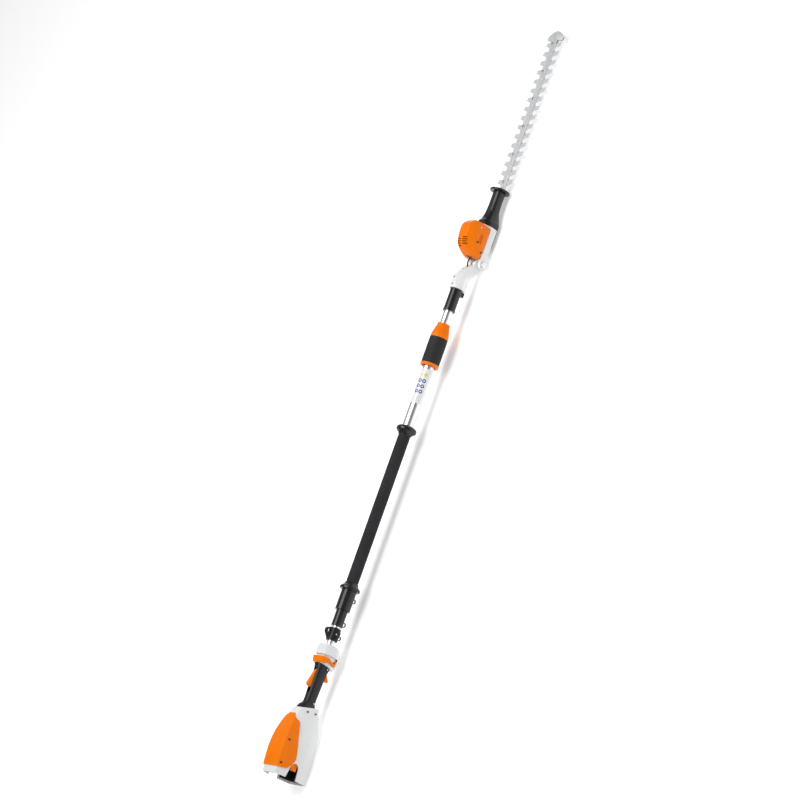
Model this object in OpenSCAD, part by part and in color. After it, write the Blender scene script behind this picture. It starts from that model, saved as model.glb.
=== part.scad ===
// Telescopic pole hedge trimmer, lying on the ground as it does in use position.
// The pole runs along X with the blades at +X, Z is up, and the ground is at z = 0.

/* [Pole] */
// Height of the pole axis above the ground
pole_z = 66; // [62:1:75]
// Outside diameter of the rear tube
rear_tube_d = 25.4; // [22:0.2:30]
// Outside diameter of the outer telescopic tube
outer_tube_d = 37; // [34:0.5:40]
// Outside diameter of the inner telescopic tube
inner_tube_d = 30; // [26:0.5:32]
// Wall of the rear and outer tubes
tube_wall = 1.8; // [1.2:0.1:2.4]
// Wall of the inner tube
inner_wall = 2.2; // [1.8:0.1:2.8]
// Length of bare outer tube in front of the grip hose
bare_l = 208; // [150:1:300]
// Travel of the inner tube
travel = 700; // [500:10:720]
// Outside diameter of the hand guard discs on the pole
disc_d = 66; // [56:1:80]
// Length of the soft grip hose
hose_l = 503; // [460:1:620]
// Wall of the soft grip hose
hose_wall = 1.5; // [1:0.1:3]

/* [Battery housing and handle] */
// Length of the battery housing
housing_l = 232; // [220:1:290]
// Half of the housing's greatest width
housing_hw = 49; // [48:0.5:60]
// Wall of the housing shells
shell_wall = 2.5; // [2:0.1:3.5]
// Wall of the top cover
cover_wall = 2.2; // [1.8:0.1:3]
// Length of the rear handle
handle_l = 138; // [130:1:170]
// Half of the handle's width
handle_hw = 16; // [15:0.5:20]
// Length of the control housing
control_l = 67; // [60:1:85]
// Travel of the unlocking slide
unlock_travel = 5; // [3:0.5:6]
// Swing of the trigger in degrees
trigger_swing = 12; // [6:1:14]

/* [Twist lock and joint] */
// Outside diameter of the twist sleeve
twist_d = 60; // [56:1:72]
// Length of the twist sleeve
twist_l = 147; // [130:1:180]
// Length of the joint's sliding sleeve
sleeve_l = 76; // [60:1:95]
// Travel of the joint's sliding sleeve
sleeve_travel = 14; // [8:1:20]
// Length of inner tube left bare behind the sliding sleeve
bare_inner_l = 46; // [30:1:60]
// Distance of the joint's pivot from the sliding sleeve
joint_l = 106; // [98:1:130]
// Depth of the joint's pivot below the pole axis
joint_drop = 45; // [42:0.5:50]
// Diameter of the joint's pivot bolt
bolt_d = 10; // [8:0.5:12]

/* [Cutting head] */
// Reach of the cutting head from its pivot to its tip
head_l = 838; // [700:1:1000]
// Half of the gear housing's width
gear_hw = 33; // [32:0.5:40]
// Diameter of the guard disc behind the blades
guard_d = 67; // [60:1:68]
// Spacing of the blade teeth
pitch = 33; // [28:1:38]
// Number of teeth on each side of a blade
teeth = 16; // [10:1:16]
// Width over the blade's teeth
blade_w = 77; // [66:1:90]
// Width of the blade between its teeth
blade_bar_w = 28; // [24:1:32]
// Thickness of a blade
blade_t = 2; // [1.6:0.1:2.4]
// Throw of the drive cams, half of a blade's stroke
throw = 8.25; // [6:0.25:9]
// Forward lean of a blade tooth
tooth_lean = 4; // [0:0.5:6]
// Teeth on the motor's pinion
pinion_teeth = 12; // [12:1:14]
// Teeth on the crank gear
crank_teeth = 54; // [48:3:57]

/* [Hidden] */
$fn = 64;
fit = 0.2;      // radial gap of pieces that are glued or clamped
slip = 0.08;    // radial gap of running fits
gap = 0.4;      // gap beside moving pieces
eps = 1;        // overshoot of a cut

// Stations along the pole, measured forwards from the rear end
r_housing = 0;
r_handle = r_housing + housing_l;
r_control = r_handle + handle_l;
r_clamp = r_control + control_l + 17;
clamp_l = 41;
r_reducer = r_clamp + clamp_l + 7;
step_l = 53;
seat_l = 67;
r_step = r_reducer + step_l;
r_guard = r_step + seat_l;
guard_l = 25;
r_hose = r_guard + guard_l;
r_front = r_hose + hose_l;
front_l = 29;
r_twist = r_front + front_l + bare_l;
r_sleeve = r_twist + twist_l + bare_inner_l;
r_joint = r_sleeve + sleeve_l;
r_pivot = r_joint + joint_l;
total_l = r_pivot + head_l;
bush_l = 30;
collar_l = 40;
collar_inset = 14;
inner_front = r_joint + 46;
inner_rear = r_step + 55;

black = "#26262a";
white = "#eceded";
orange = "#f47a10";
alu = "#c9ccd0";
steel = "#9aa0a6";

// ---------- frames ----------
module pole(r = 0) translate([r - total_l / 2, 0, pole_z]) children();
module head(x = 0) pole(r_pivot + x) translate([0, 0, -joint_drop]) children();

// ---------- helpers ----------
module rod(x0, x1, d) translate([x0, 0, 0]) rotate([0, 90, 0]) cylinder(d = d, h = x1 - x0);
module pipe(x0, x1, d, bore) difference() {
    rod(x0, x1, d);
    rod(x0 - eps, x1 + eps, bore);
}
module cross_pin(y0, y1, d) translate([0, y1, 0]) rotate([90, 0, 0]) cylinder(d = d, h = y1 - y0);
module upright(z0, z1, d) translate([0, 0, z0]) cylinder(d = d, h = z1 - z0);
module side_plate(y0, y1) translate([0, y1, 0]) rotate([90, 0, 0]) linear_extrude(y1 - y0) children();
module turned() rotate([90, 0, 90]) rotate([0, 0, 90]) rotate_extrude() children();
module screw_y(y, d = 5, side = -1) translate([0, y, 0]) rotate([90 * side * -1, 0, 0]) {
    cylinder(d = d * 1.8, h = 2.4);
    translate([0, 0, -6]) cylinder(d = d, h = 6);
}

// A closed solid through cross sections: stations are [x, [[y, z], ...]] with equal point counts
module loft(stations) {
    n = len(stations[0][1]);
    m = len(stations);
    points = [for (s = stations) for (p = s[1]) [s[0], p[0], p[1]]];
    sides = [for (i = [0:m - 2]) for (j = [0:n - 1]) let(k = (j + 1) % n)
        each [[i * n + j, i * n + k, (i + 1) * n + k], [i * n + j, (i + 1) * n + k, (i + 1) * n + j]]];
    polyhedron(points = points,
        faces = concat([[for (j = [n - 1:-1:0]) j]], sides, [[for (j = [0:n - 1]) (m - 1) * n + j]]));
}
// The same with rounded corners and with smooth curves through the stations
function corner(p, c, n, r) = let(u = (p - c) / norm(p - c), v = (n - c) / norm(n - c),
    d = min(r, 0.46 * norm(p - c), 0.46 * norm(n - c))) [c + u * d, c + (u + v) * d / 4, c + v * d];
function rounded(pts, r) = let(n = len(pts))
    [for (i = [0:n - 1]) each corner(pts[(i + n - 1) % n], pts[i], pts[(i + 1) % n], r)];
function curve(a, b, c, d, t) = (2 * b + (c - a) * t + (2 * a - 5 * b + 4 * c - d) * t * t
    + (3 * b - a - 3 * c + d) * t * t * t) / 2;
function between(st, i, t) = let(m = len(st), a = st[max(i - 1, 0)], b = st[i], c = st[i + 1], d = st[min(i + 2, m - 1)])
    [curve(a[0], b[0], c[0], d[0], t), [for (k = [0:len(b[1]) - 1]) curve(a[1][k], b[1][k], c[1][k], d[1][k], t)]];
function refined(st, k) = concat([for (i = [0:len(st) - 2]) for (j = [0:k - 1]) between(st, i, j / k)], [st[len(st) - 1]]);
module smooth_loft(stations, r = 7, k = 3) loft([for (s = refined(stations, k)) [s[0], rounded(s[1], r)]]);
// An eight sided section: half widths at top, middle and bottom, heights from bottom to top, grown by g
function section(top, mid, low, zb, zl, zh, zt, g = 0) = [
    [-low - g, zb - g], [-mid - g, zl], [-mid - g, zh], [-top - g, zt + g],
    [top + g, zt + g], [mid + g, zh], [mid + g, zl], [low + g, zb - g]];
// Half of what is given: side -1 is the right shell, 1 the left shell
module half(side) intersection() {
    children();
    translate([-2000, side > 0 ? 0 : -200, -300]) cube([4000, 200, 600]);
}

// ---------- tubes and grips ----------
module rear_tube() color(alu) pole() pipe(r_control - 10, r_step + 45, rear_tube_d, rear_tube_d - 2 * tube_wall);
module outer_tube() color(alu) pole()
    pipe(r_step + 3, r_twist + collar_inset + collar_l - 4, outer_tube_d, outer_tube_d - 2 * tube_wall);

key_w = 6;
key_h = 1.2;
module inner_tube() color(alu) pole() difference() {
    pipe(inner_rear, inner_front, inner_tube_d, inner_tube_d - 2 * inner_wall);
    translate([inner_rear - eps, -key_w / 2, -inner_tube_d / 2 - eps])
        cube([inner_front - inner_rear + 2 * eps, key_w, key_h + eps]);
}
// Rear bush of the inner tube, and the ring behind the sliding sleeve's spring
module guide_bush() color(black) pole() {
    pipe(r_sleeve + stop_x, r_sleeve + stop_x + 4, inner_tube_d + 4.6, inner_tube_d + 2 * fit);
    pipe(inner_rear, inner_rear + bush_l, outer_tube_d - 2 * tube_wall - 2 * slip, inner_tube_d + 2 * fit);
}

reducer_d = 36.5;
seat_d = outer_tube_d + 11;
module reducer_sleeve() color(black) pole() difference() {
    union() {
        rod(r_reducer, r_step, reducer_d);
        rod(r_step, r_guard, seat_d);
        rod(r_reducer, r_reducer + 3, reducer_d + 1.6);
    }
    rod(r_reducer - eps, r_guard, rear_tube_d + 2 * fit);
    rod(r_step + 3, r_guard + eps, outer_tube_d + 2 * fit);
}
// Small round eyes under the pole that hold a supply cable
eye_r = 5.2;
eye_wall = 2.8;
eye_t = 4;
module eye(r, d) translate([r, 0, -d / 2 - eye_r]) difference() {
    union() {
        cross_pin(-eye_t / 2, eye_t / 2, 2 * (eye_r + eye_wall));
        translate([-eye_r - eye_wall, -eye_t / 2, 2]) cube([2 * (eye_r + eye_wall), eye_t, eye_r - 2]);
    }
    cross_pin(-eye_t, eye_t, 2 * eye_r);
    translate([0, 0, d / 2 + eye_r]) rod(-30, 30, d);
}
eye_small = r_reducer + 14;
eye_large = r_step + 42;
eye_clamp = r_clamp + 17;
module cable_guides() color(black) pole() {
    eye(eye_small, reducer_d + fit);
    eye(eye_large, seat_d + fit);
}
hose_d = outer_tube_d + 2 * hose_wall;
module rear_hand_guard() color(black) pole(r_guard) difference() {
    turned() polygon([[0, 0], [disc_d / 2 - 2, 0], [disc_d / 2, 2], [disc_d / 2, 8], [disc_d / 2 - 3, 11.5],
        [hose_d / 2 + 4, 17], [hose_d / 2 + 1.2, guard_l], [0, guard_l]]);
    rod(-eps, guard_l + eps, outer_tube_d + 2 * fit);
}
module front_hand_guard() color(black) pole(r_front) difference() {
    turned() polygon([[0, 0], [hose_d / 2 + 1.2, 0], [hose_d / 2 + 4, 6], [disc_d / 2 - 1.5, 12],
        [disc_d / 2, 15], [disc_d / 2, 21], [disc_d / 2 - 3, 26], [disc_d / 2 - 9, front_l], [0, front_l]]);
    rod(-eps, front_l + eps, outer_tube_d + 2 * fit);
}
module grip_hose() color(black) pole() pipe(r_hose, r_front, hose_d, outer_tube_d + 2 * fit);

// ---------- carrying clamp ----------
clamp_d = 36;
loop_w = 12;
module clamp_half(top) intersection() {
    pipe(0, clamp_l, clamp_d, rear_tube_d + 2 * fit);
    translate([-eps, -50, top ? 0.5 : -50.5]) cube([clamp_l + 2 * eps, 100, 50]);
}
module clamp_ears(top) for (side = [-1, 1])
    translate([clamp_l / 2 - 9, side > 0 ? clamp_d / 2 - 3 : -clamp_d / 2 - 7.5, top ? 0.5 : -5.5]) cube([18, 10.5, 5]);
module clamp_holes() for (side = [-1, 1])
    translate([clamp_l / 2, side * (clamp_d / 2 + 3.4), 0]) upright(-20, 20, 4.4);
module carry_clamp_top() color(black) pole(r_clamp) difference() {
    union() {
        clamp_half(true);
        clamp_ears(true);
        side_plate(-loop_w / 2, loop_w / 2) difference() {
            polygon([[1, 10], [3, 19], [20, 34], [29, 36], [36, 31], [clamp_l - 1, 10]]);
            polygon([[10, 19.5], [22, 29.5], [28, 30.5], [31, 27.5], [33.5, 19.5]]);
        }
        for (x = [0, clamp_l - 4]) pipe_half(x, x + 4, clamp_d + 3);
    }
    rod(-eps, clamp_l + eps, rear_tube_d + 2 * fit);
    clamp_holes();
}
module pipe_half(x0, x1, d) intersection() {
    rod(x0, x1, d);
    translate([x0 - eps, -50, 0.5]) cube([x1 - x0 + 2 * eps, 100, 50]);
}
module carry_clamp_base() color(black) pole(r_clamp) difference() {
    union() {
        clamp_half(false);
        clamp_ears(false);
        translate([17, 0, -clamp_d / 2 - eye_r]) {
            cross_pin(-eye_t / 2, eye_t / 2, 2 * (eye_r + eye_wall));
            translate([-eye_r - eye_wall, -eye_t / 2, 0]) cube([2 * (eye_r + eye_wall), eye_t, eye_r + 2]);
        }
    }
    translate([17, 0, -clamp_d / 2 - eye_r]) cross_pin(-eye_t, eye_t, 2 * eye_r);
    rod(-eps, clamp_l + eps, rear_tube_d + 2 * fit);
    clamp_holes();
}
module carry_clamp_screws() color(steel) pole(r_clamp) for (side = [-1, 1])
    translate([clamp_l / 2, side * (clamp_d / 2 + 3.4), 0]) {
        upright(-9.5, 5.5, 4);
        upright(5.5, 8.7, 7);
        translate([0, 0, -8.7]) cylinder(d = 7.4, h = 3.2, $fn = 6);
    }

// ---------- battery housing ----------
seam_tilt = -15;
// Section of the battery housing at a distance from its rear end, as a share of its length
function housing_section(x, top, mid, low, zb, zt, g) =
    [x * housing_l / 232, section(top, mid * housing_hw / 49, low, zb, -22, 18, zt, g)];
function housing_stations(g, rear = 0) = [
    housing_section(-rear, 32, 48, 41, -64, 60, g),
    housing_section(20, 34, 49, 41, -64, 62.5, g),
    housing_section(80, 36, 49, 41, -62.5, 66, g),
    housing_section(130, 34, 45, 37, -58, 63, g),
    housing_section(175, 27, 36, 31, -49, 54, g),
    housing_section(208, 21, 28, 25, -40, 43, g),
    housing_section(248, 15, 21, 18, -27, 32, g)];
latch_x0 = 10;
latch_x1 = 46;
module latch_window(grow = 0) side_plate(-80, 80) hull() {
    translate([-5, -13 - grow]) square([10, 38 + 2 * grow]);
    translate([latch_pivot - 24, 6]) circle(r = 15 + grow, $fn = 32);
}
module housing_body() difference() {
    smooth_loft(housing_stations(0));
    difference() {
        smooth_loft(housing_stations(-shell_wall, 2));
        translate([housing_l - 30, -100, -100]) cube([50, 200, 200]);
    }
    latch_window();
    // room for the handle's rear end
    translate([housing_l - 38, 0, 0]) rod(0, 60, 2 * handle_hw + 4);
    // ground clearance and the slanted seam to the handle
    translate([housing_l, 0, 0]) rotate([0, seam_tilt, 0]) translate([0, -60, -80]) cube([60, 120, 160]);
    for (y = [-1, 1], x = feet_x)
        translate([x - 11 - fit, y * feet_y - 5 - fit, -70]) cube([22 + 2 * fit, 10 + 2 * fit, 7.2]);
}
feet_x = [24, 52];
feet_y = 24;
feet_drop = 2;
module housing_right() color(white) pole() half(-1) housing_body();
module housing_left() color(white) pole() half(1) housing_body();
module rubber_feet() color(black) pole() for (y = [-1, 1], x = feet_x)
    translate([x - 11, y * feet_y - 5, -64 - feet_drop]) cube([22, 10, feet_drop + 1]);
module cover_region() intersection() {
    side_plate(-80, 80) polygon([[20, 90], [21, 66], [25, 33], [40, 21], [58, 13], [70, 14], [120, 26],
        [169, 33], [187, 38], [199, 47], [197, 90]] * housing_l / 232);
    translate([0, 0, -10]) linear_extrude(120) hull() {
        translate([10, -70]) square([60, 140]);
        translate([housing_l - 48, 0]) circle(r = 20);
        translate([housing_l - 104, 0]) circle(r = 56);
    }
}
module top_cover() color(orange) pole() intersection() {
    difference() {
        smooth_loft(housing_stations(cover_wall + fit));
        smooth_loft(housing_stations(fit, 2));
    }
    cover_region();
}
cover_tilt = 16;
module housing_screws() color(steel) pole() {
    for (side = [-1, 1], p = [[36, 40.6, 56], [111, 41.0, 55]])
        translate([p[0] * housing_l / 232, side * (p[1] - 49 + housing_hw), p[2]])
            rotate([-side * (90 - cover_tilt), 0, 0]) cylinder(d = 6.5, h = 1.4);
    for (p = [[215, 27.1, 14], [219, 26.4, -18]])
        translate([p[0] * housing_l / 232, -p[1] * housing_hw / 49, p[2]])
            rotate([90, 0, 0]) rotate([0, 10, 0]) cylinder(d = 6, h = 1.4);
}

// Tray inside the housing that the battery pack slides along
tray_l = 117;
tray_wall = 2;
module tray_outline(g) polygon([[-28 + g, -52 + g], [-38.5 + g, -26], [-38.5 + g, 30 - g],
    [38.5 - g, 30 - g], [38.5 - g, -26], [28 - g, -52 + g]]);
module along_x(x0, x1) translate([x0, 0, 0]) rotate([90, 0, 90]) linear_extrude(x1 - x0) children();
module battery_guide() color(black) pole() difference() {
    union() {
        along_x(6, 6 + tray_l) tray_outline(0);
        translate([34, -18, -60.2]) cube([24, 36, 9]);
        for (side = [-1, 1]) translate([30, side * 19 - 1, 29]) cube([70, 2, 1.3]);
    }
    along_x(5, 2 + tray_l) tray_outline(tray_wall);
    // openings beside the latches and around the contacts
    translate([0, -60, -14]) cube([latch_pivot + 8, 120, 40]);
    translate([tray_l - 5, -21 - fit, -15 - fit]) cube([30, 42 + 2 * fit, 20 + 2 * fit]);
}
module contact_block() color(black) pole()
    translate([tray_l - 1, -21, -15]) difference() {
        cube([18, 42, 20]);
        for (y = [6, 16, 24, 34]) translate([-eps, y, 3]) cube([12, 2.4, 14]);
    }
module contact_blades() color("#b98a3c") pole() for (y = [6, 16, 24, 34])
    translate([tray_l - 14, -21 + y + 0.4, -10]) cube([23.8, 1.6, 10]);
module power_board() color("#2c5a3a") pole() translate([24, -26, 30.5]) {
    cube([96, 52, 1.6]);
    for (x = [8, 30, 52]) translate([x, 6, 1.6]) cube([16, 12, 8]);
    for (x = [14, 44, 70]) translate([x, 38, 1.6]) cylinder(d = 12, h = 14);
}
// Spring latches that hold the battery pack, one in each side window
latch_pivot = 58;
module latch(side) color(orange) pole() scale([1, side, 1]) translate([0, 0, 6]) {
    difference() {
        union() {
            translate([latch_pivot - 32, 40.6, -11]) cube([22, 4.2, 22]);
            translate([latch_pivot - 14, 42.5, -6]) cube([14, 2.3, 12]);
            translate([latch_pivot, 44.2, 0]) upright(-12, 9, 4);
            translate([latch_pivot - 30, 44.5, -8]) cube([4, 2, 16]);
        }
    }
}
module latch_right() latch(-1);
module latch_left() latch(1);

// ---------- handle, trigger and lockout ----------
handle_top = 20;
function grip_section(x, w, zb, zt, g) = [x, section(w * 0.62, w, w * 0.62, zb, zb * 0.5, zt * 0.5, zt, g)];
function handle_stations(g) = [
    grip_section(-22, handle_hw + 8, -33, 43, g),
    grip_section(3, handle_hw + 3, -24, 32, g),
    grip_section(17, handle_hw - 1, -17, handle_top + 1, g),
    grip_section(60, handle_hw, -17.5, handle_top + 1, g),
    grip_section(100, handle_hw + 1, -19.5, handle_top + 1, g),
    grip_section(124, handle_hw + 2, -22, handle_top + 2, g),
    grip_section(handle_l + 12, handle_hw + 6, -31, 27, g)];
trigger_x = handle_l - 20;
trigger_z = -9;
lockout_x = handle_l - 18;
lockout_z = 10;
lever_w = 11;
module seam_cut(x, tilt, keep_front) translate([x, 0, 0]) rotate([0, tilt, 0])
    translate([keep_front ? -90 : 0, -60, -90]) cube([90, 120, 180]);
module handle_body() difference() {
    smooth_loft(handle_stations(0), 9);
    difference() {
        smooth_loft(handle_stations(-shell_wall), 9);
        translate([handle_l - 10, -60, -60]) cube([60, 120, 120]);
    }
    seam_cut(fit, seam_tilt, true);
    seam_cut(handle_l - fit, 10, false);
    // slots for the levers
    translate([handle_l - 92, -lever_w / 2 - gap, 12]) cube([92 - 12, lever_w + 2 * gap, 40]);
    translate([handle_l - 58, -lever_w / 2 - gap, -60]) cube([58 - 12, lever_w + 2 * gap, 50]);
    // seat of the tube
    rod(handle_l - 10 - fit, handle_l + 30, rear_tube_d + 2 * fit);
    for (p = [[trigger_x, trigger_z], [lockout_x, lockout_z]])
        translate([p[0], 0, p[1]]) cross_pin(-handle_hw - 0.5, handle_hw + 0.5, 4 + 2 * slip);
}
module handle_right() color(black) pole(r_handle) half(-1) handle_body();
module handle_left() color(black) pole(r_handle) half(1) handle_body();
module handle_screws() color(steel) pole(r_handle) {
    for (p = [[16, -5, 15.7], [handle_l - 8, -8, 19.2]])
        translate([p[0], -p[2], p[1]]) rotate([90, 0, 0]) cylinder(d = 5, h = 2.4);
}
module lever_pin() cross_pin(-handle_hw - 0.2, handle_hw + 0.2, 4);
module trigger() color(orange) pole(r_handle) {
    translate([trigger_x, 0, trigger_z]) lever_pin();
    side_plate(-lever_w / 2, lever_w / 2) polygon([[trigger_x + 4, trigger_z + 4], [trigger_x - 14, -6],
        [trigger_x - 26, -14], [trigger_x - 23, -34], [trigger_x - 19, -37], [trigger_x - 5, -27],
        [trigger_x + 3, -20], [trigger_x + 5, -13]]);
}
module lockout_lever() color(orange) pole(r_handle) {
    translate([lockout_x, 0, lockout_z]) lever_pin();
    side_plate(-lever_w / 2, lever_w / 2) polygon([[lockout_x + 4, lockout_z - 3], [lockout_x - 6, 7],
        [lockout_x - 34, 13], [lockout_x - 57, 17], [lockout_x - 58, 22], [lockout_x - 54, 33],
        [lockout_x - 49, 35], [lockout_x - 4, 22], [lockout_x + 2, 16.5], [lockout_x + 5, lockout_z + 4]]);
}
module trigger_switch() color(black) pole(r_handle) {
    translate([trigger_x - 62, -6, -7]) cube([20, 12, 13]);
    translate([trigger_x - 60, -handle_hw + 2.8, -3]) cube([16, handle_hw * 2 - 5.6, 5]);
}

// ---------- control housing ----------
function control_stations(g) = [
    [-8, section(17, 26, 14, -31, -12, 10, 20, g)],
    [10, section(22, 30, 14, -42, -14, 12, 28, g)],
    [26, section(23, 31, 13, -50, -16, 12, 30, g)],
    [44, section(23, 31, 13, -47, -16, 12, 28, g)],
    [58, section(22, 30, 15, -34, -14, 11, 28.5, g)],
    [control_l, section(21, 28, 16, -25, -12, 10, 27, g)]];
track_x0 = 5;
track_l = 23 + unlock_travel;
function track_section(g) = section(18, 25.5, 14, -34, -12, 9, 22, g);
module track(g, x0, x1) loft([[x0, track_section(g)], [x1, track_section(g)]]);
module control_body() difference() {
    smooth_loft(control_stations(0), 6);
    difference() {
        smooth_loft(control_stations(-shell_wall), 6);
        // walls at both ends and under the slide's track
        translate([-30, -60, -80]) cube([34, 120, 160]);
        translate([control_l - 6, -60, -80]) cube([34, 120, 160]);
        translate([0, 0, 0]) track(0, 2, track_x0 + track_l + 2);
    }
    difference() {
        translate([track_x0, -60, -30]) cube([track_l, 120, 90]);
        track(0, -10, 60);
    }
    difference() {
        track(-shell_wall, 4, track_x0 + track_l - 2);
        rod(-10, 80, rear_tube_d + 8);
    }
    seam_cut(fit, 10, true);
    rod(-30, control_l + 30, rear_tube_d + 2 * fit);
}
module control_right() color(white) pole(r_control) half(-1) control_body();
module control_left() color(white) pole(r_control) half(1) control_body();
// The slide follows an S curve down each flank
module slide_outline() polygon([[6, 60], [6, 26], [7, 18], [11, 10], [12, 2], [10, -8], [7, -16], [7, -21],
    [10, -26], [16, -28], [23, -27], [25, -23], [22, -20.5], [16, -21], [14, -17], [16, -9], [21, -1],
    [24, 6], [25, 14], [25.5, 26], [25.5, 60]]);
module unlock_slide() color(orange) pole(r_control) intersection() {
    difference() {
        smooth_loft(control_stations(1.2), 6);
        track(gap, -20, 80);
    }
    side_plate(-60, 60) slide_outline();
}
module control_board() color("#2c5a3a") pole(r_control) {
    translate([39, -18, 20]) cube([20, 36, 1.6]);
    for (y = [-9, 0, 9]) translate([48, y, 21.6]) cylinder(d = 3, h = 3.3);
}

// ---------- twist lock ----------
collar_d = outer_tube_d + 7;
collet_d = inner_tube_d + 8;
ring_l = 8;
grip_front = twist_l - 50;
module lock_collar() color(black) pole(r_twist + collar_inset)
    pipe(0, collar_l, collar_d, outer_tube_d + 2 * fit);
module collet() color(white) pole(r_twist + collar_inset + collar_l) difference() {
    union() {
        rod(0, 5, collar_d);
        rod(0, 34, collet_d);
        translate([34, 0, 0]) rotate([0, 90, 0]) cylinder(d1 = collet_d, d2 = inner_tube_d + 3, h = 16);
    }
    rod(-eps, 60, inner_tube_d + 2 * slip);
    for (a = [0:60:179]) rotate([a, 0, 0]) translate([8, -30, -0.8]) cube([60, 60, 1.6]);
}
module twist_sleeve() color(orange) pole(r_twist) difference() {
    union() {
        rod(0, ring_l, twist_d);
        rod(0, twist_l - 39, twist_d - 4);
        rod(grip_front, twist_l - 39, twist_d - 1);
        translate([twist_l - 39, 0, 0]) rotate([0, 90, 0])
            cylinder(d1 = twist_d - 2, d2 = inner_tube_d + 14, h = 30);
        rod(twist_l - 9, twist_l - 5, inner_tube_d + 10);
        rod(twist_l - 5, twist_l, inner_tube_d + 12);
    }
    rod(-eps, collar_inset + collar_l + 5 + gap, collar_d + 2 * gap);
    rod(0, twist_l - 38, collet_d + 2 * gap);
    rod(0, twist_l - 20, collet_d + 2 * gap);
    rod(0, twist_l + eps, inner_tube_d + 2 * gap);
    // ribs on the cone
    for (a = [0:15:359]) rotate([a, 0, 0]) translate([twist_l - 36, 0, twist_d / 2 - 1.5])
        rotate([0, 12, 0]) rod(0, 26, 2.4);
}
module twist_grip() color(black) pole(r_twist) pipe(ring_l, grip_front, twist_d, twist_d - 4 + 2 * fit);
module spiral_cable() color(black) pole()
    rod(r_control - 6, inner_front - 20, min(rear_tube_d - 2 * tube_wall, inner_tube_d - 2 * inner_wall) - 0.6);

// ---------- angle joint ----------
pin_z = -joint_drop + 15;
pin_d = 4.4;
pocket_x0 = 8;
pocket_x1 = sleeve_l - 16;
stop_x = 26;
module slide_sleeve() color(black) pole(r_sleeve) {
    difference() {
        union() {
            rod(0, sleeve_l, inner_tube_d + 8);
            rod(0, 5, inner_tube_d + 11);
            rod(sleeve_l - 3, sleeve_l, inner_tube_d + 9);
            translate([sleeve_l - 15, -5, pin_z - 3]) cube([15, 10, 16.5]);
        }
        rod(-eps, sleeve_l + eps, inner_tube_d + 2 * gap);
        rod(pocket_x0, pocket_x1, inner_tube_d + 5.4);
    }
    translate([0, 0, pin_z]) rod(sleeve_l - 8, sleeve_l + joint_l - 16, pin_d);
}
module slide_spring() color(steel) pole(r_sleeve)
    pipe(stop_x + 4.3, pocket_x1 - 0.3, inner_tube_d + 4.4, inner_tube_d + 1);
knuckle_r = 20;
knuckle_hw = 18.5;
plate_t = 6;
clamp_base_d = inner_tube_d + 13;
base_l = 50;
module joint_base() color(white) pole(r_joint) difference() {
    union() {
        rod(gap, 6, clamp_base_d + 5);
        hull() {
            rod(gap, base_l, clamp_base_d);
            translate([28, -9, 12]) cube([14, 18, 12]);
        }
        hull() {
            rod(gap, base_l, clamp_base_d - 8);
            translate([0, 0, pin_z]) rod(gap, base_l, pin_d + 2 * gap + 5);
        }
        hull() {
            translate([0, 0, pin_z]) rod(base_l - 4, base_l, pin_d + 2 * gap + 5);
            rod(base_l - 12, base_l, clamp_base_d - 2);
            translate([joint_l - 14, 0, -joint_drop + 8]) cross_pin(-knuckle_hw, knuckle_hw, 34);
            translate([joint_l, 0, -joint_drop]) cross_pin(-knuckle_hw, knuckle_hw, 2 * knuckle_r);
        }
    }
    rod(-eps, base_l - 3, inner_tube_d + 2 * fit);
    rod(-eps, base_l + 30, 12);
    translate([joint_l, 0, -joint_drop]) cable_bore();
    translate([0, 0, pin_z]) rod(-eps, joint_l - 12, pin_d + 2 * gap);
    // room for the motor cover at the head's upper limit
    translate([joint_l, 0, -joint_drop]) difference() {
        rotate([0, -tilt_up, 0]) translate([cover_x0 - 2 * gap, -60, 0]) cube([60, 120, 80]);
        cross_pin(-61, 61, 2 * (norm([cover_x0, top_z]) - 2 * gap));
    }
    translate([joint_l, 0, -joint_drop]) {
        cross_pin(-60, 60, bolt_d + 2 * slip);
        cross_pin(-plate_t / 2 - gap, plate_t / 2 + gap, 2 * knuckle_r + 10);
        for (side = [-1, 1]) translate([0, side * (knuckle_hw + 10), 0]) cross_pin(-10, 10, 2 * knuckle_r + 30);
    }
}
module joint_screws() color(steel) pole(r_joint) for (p = [[12, 23], [35, 24.2]])
    translate([p[0], 0, p[1]]) cylinder(d = 6, h = 2.6);
tilt_up = 45;
cover_x0 = 12;
lock_angles = [-tilt_up, -22.5, 0, 22.5, 45, 70];
module detent_plate() color(steel) head() difference() {
    union() {
        cross_pin(-plate_t / 2, plate_t / 2, 2 * knuckle_r);
        cross_pin(-knuckle_hw - 1.2, -knuckle_hw - 0.4, 26);
        cross_pin(knuckle_hw + 0.4, knuckle_hw + 1.2, 26);
    }
    cross_pin(-60, 60, bolt_d + 2 * fit);
    for (a = lock_angles) rotate([0, -a, 0]) translate([-knuckle_r - 4, 0, 15]) rod(-10, 12, pin_d + 2 * gap);
}
ear_y = knuckle_hw + 1.6;
ear_t = gear_hw - ear_y;
module pivot_bolt() color(steel) head() {
    cross_pin(-gear_hw - 1.2, gear_hw + 1.2, bolt_d);
    cross_pin(-gear_hw - 3.6, -gear_hw - 0.2, 21);
    cross_pin(gear_hw + 0.2, gear_hw + 3.6, 21);
}

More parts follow.
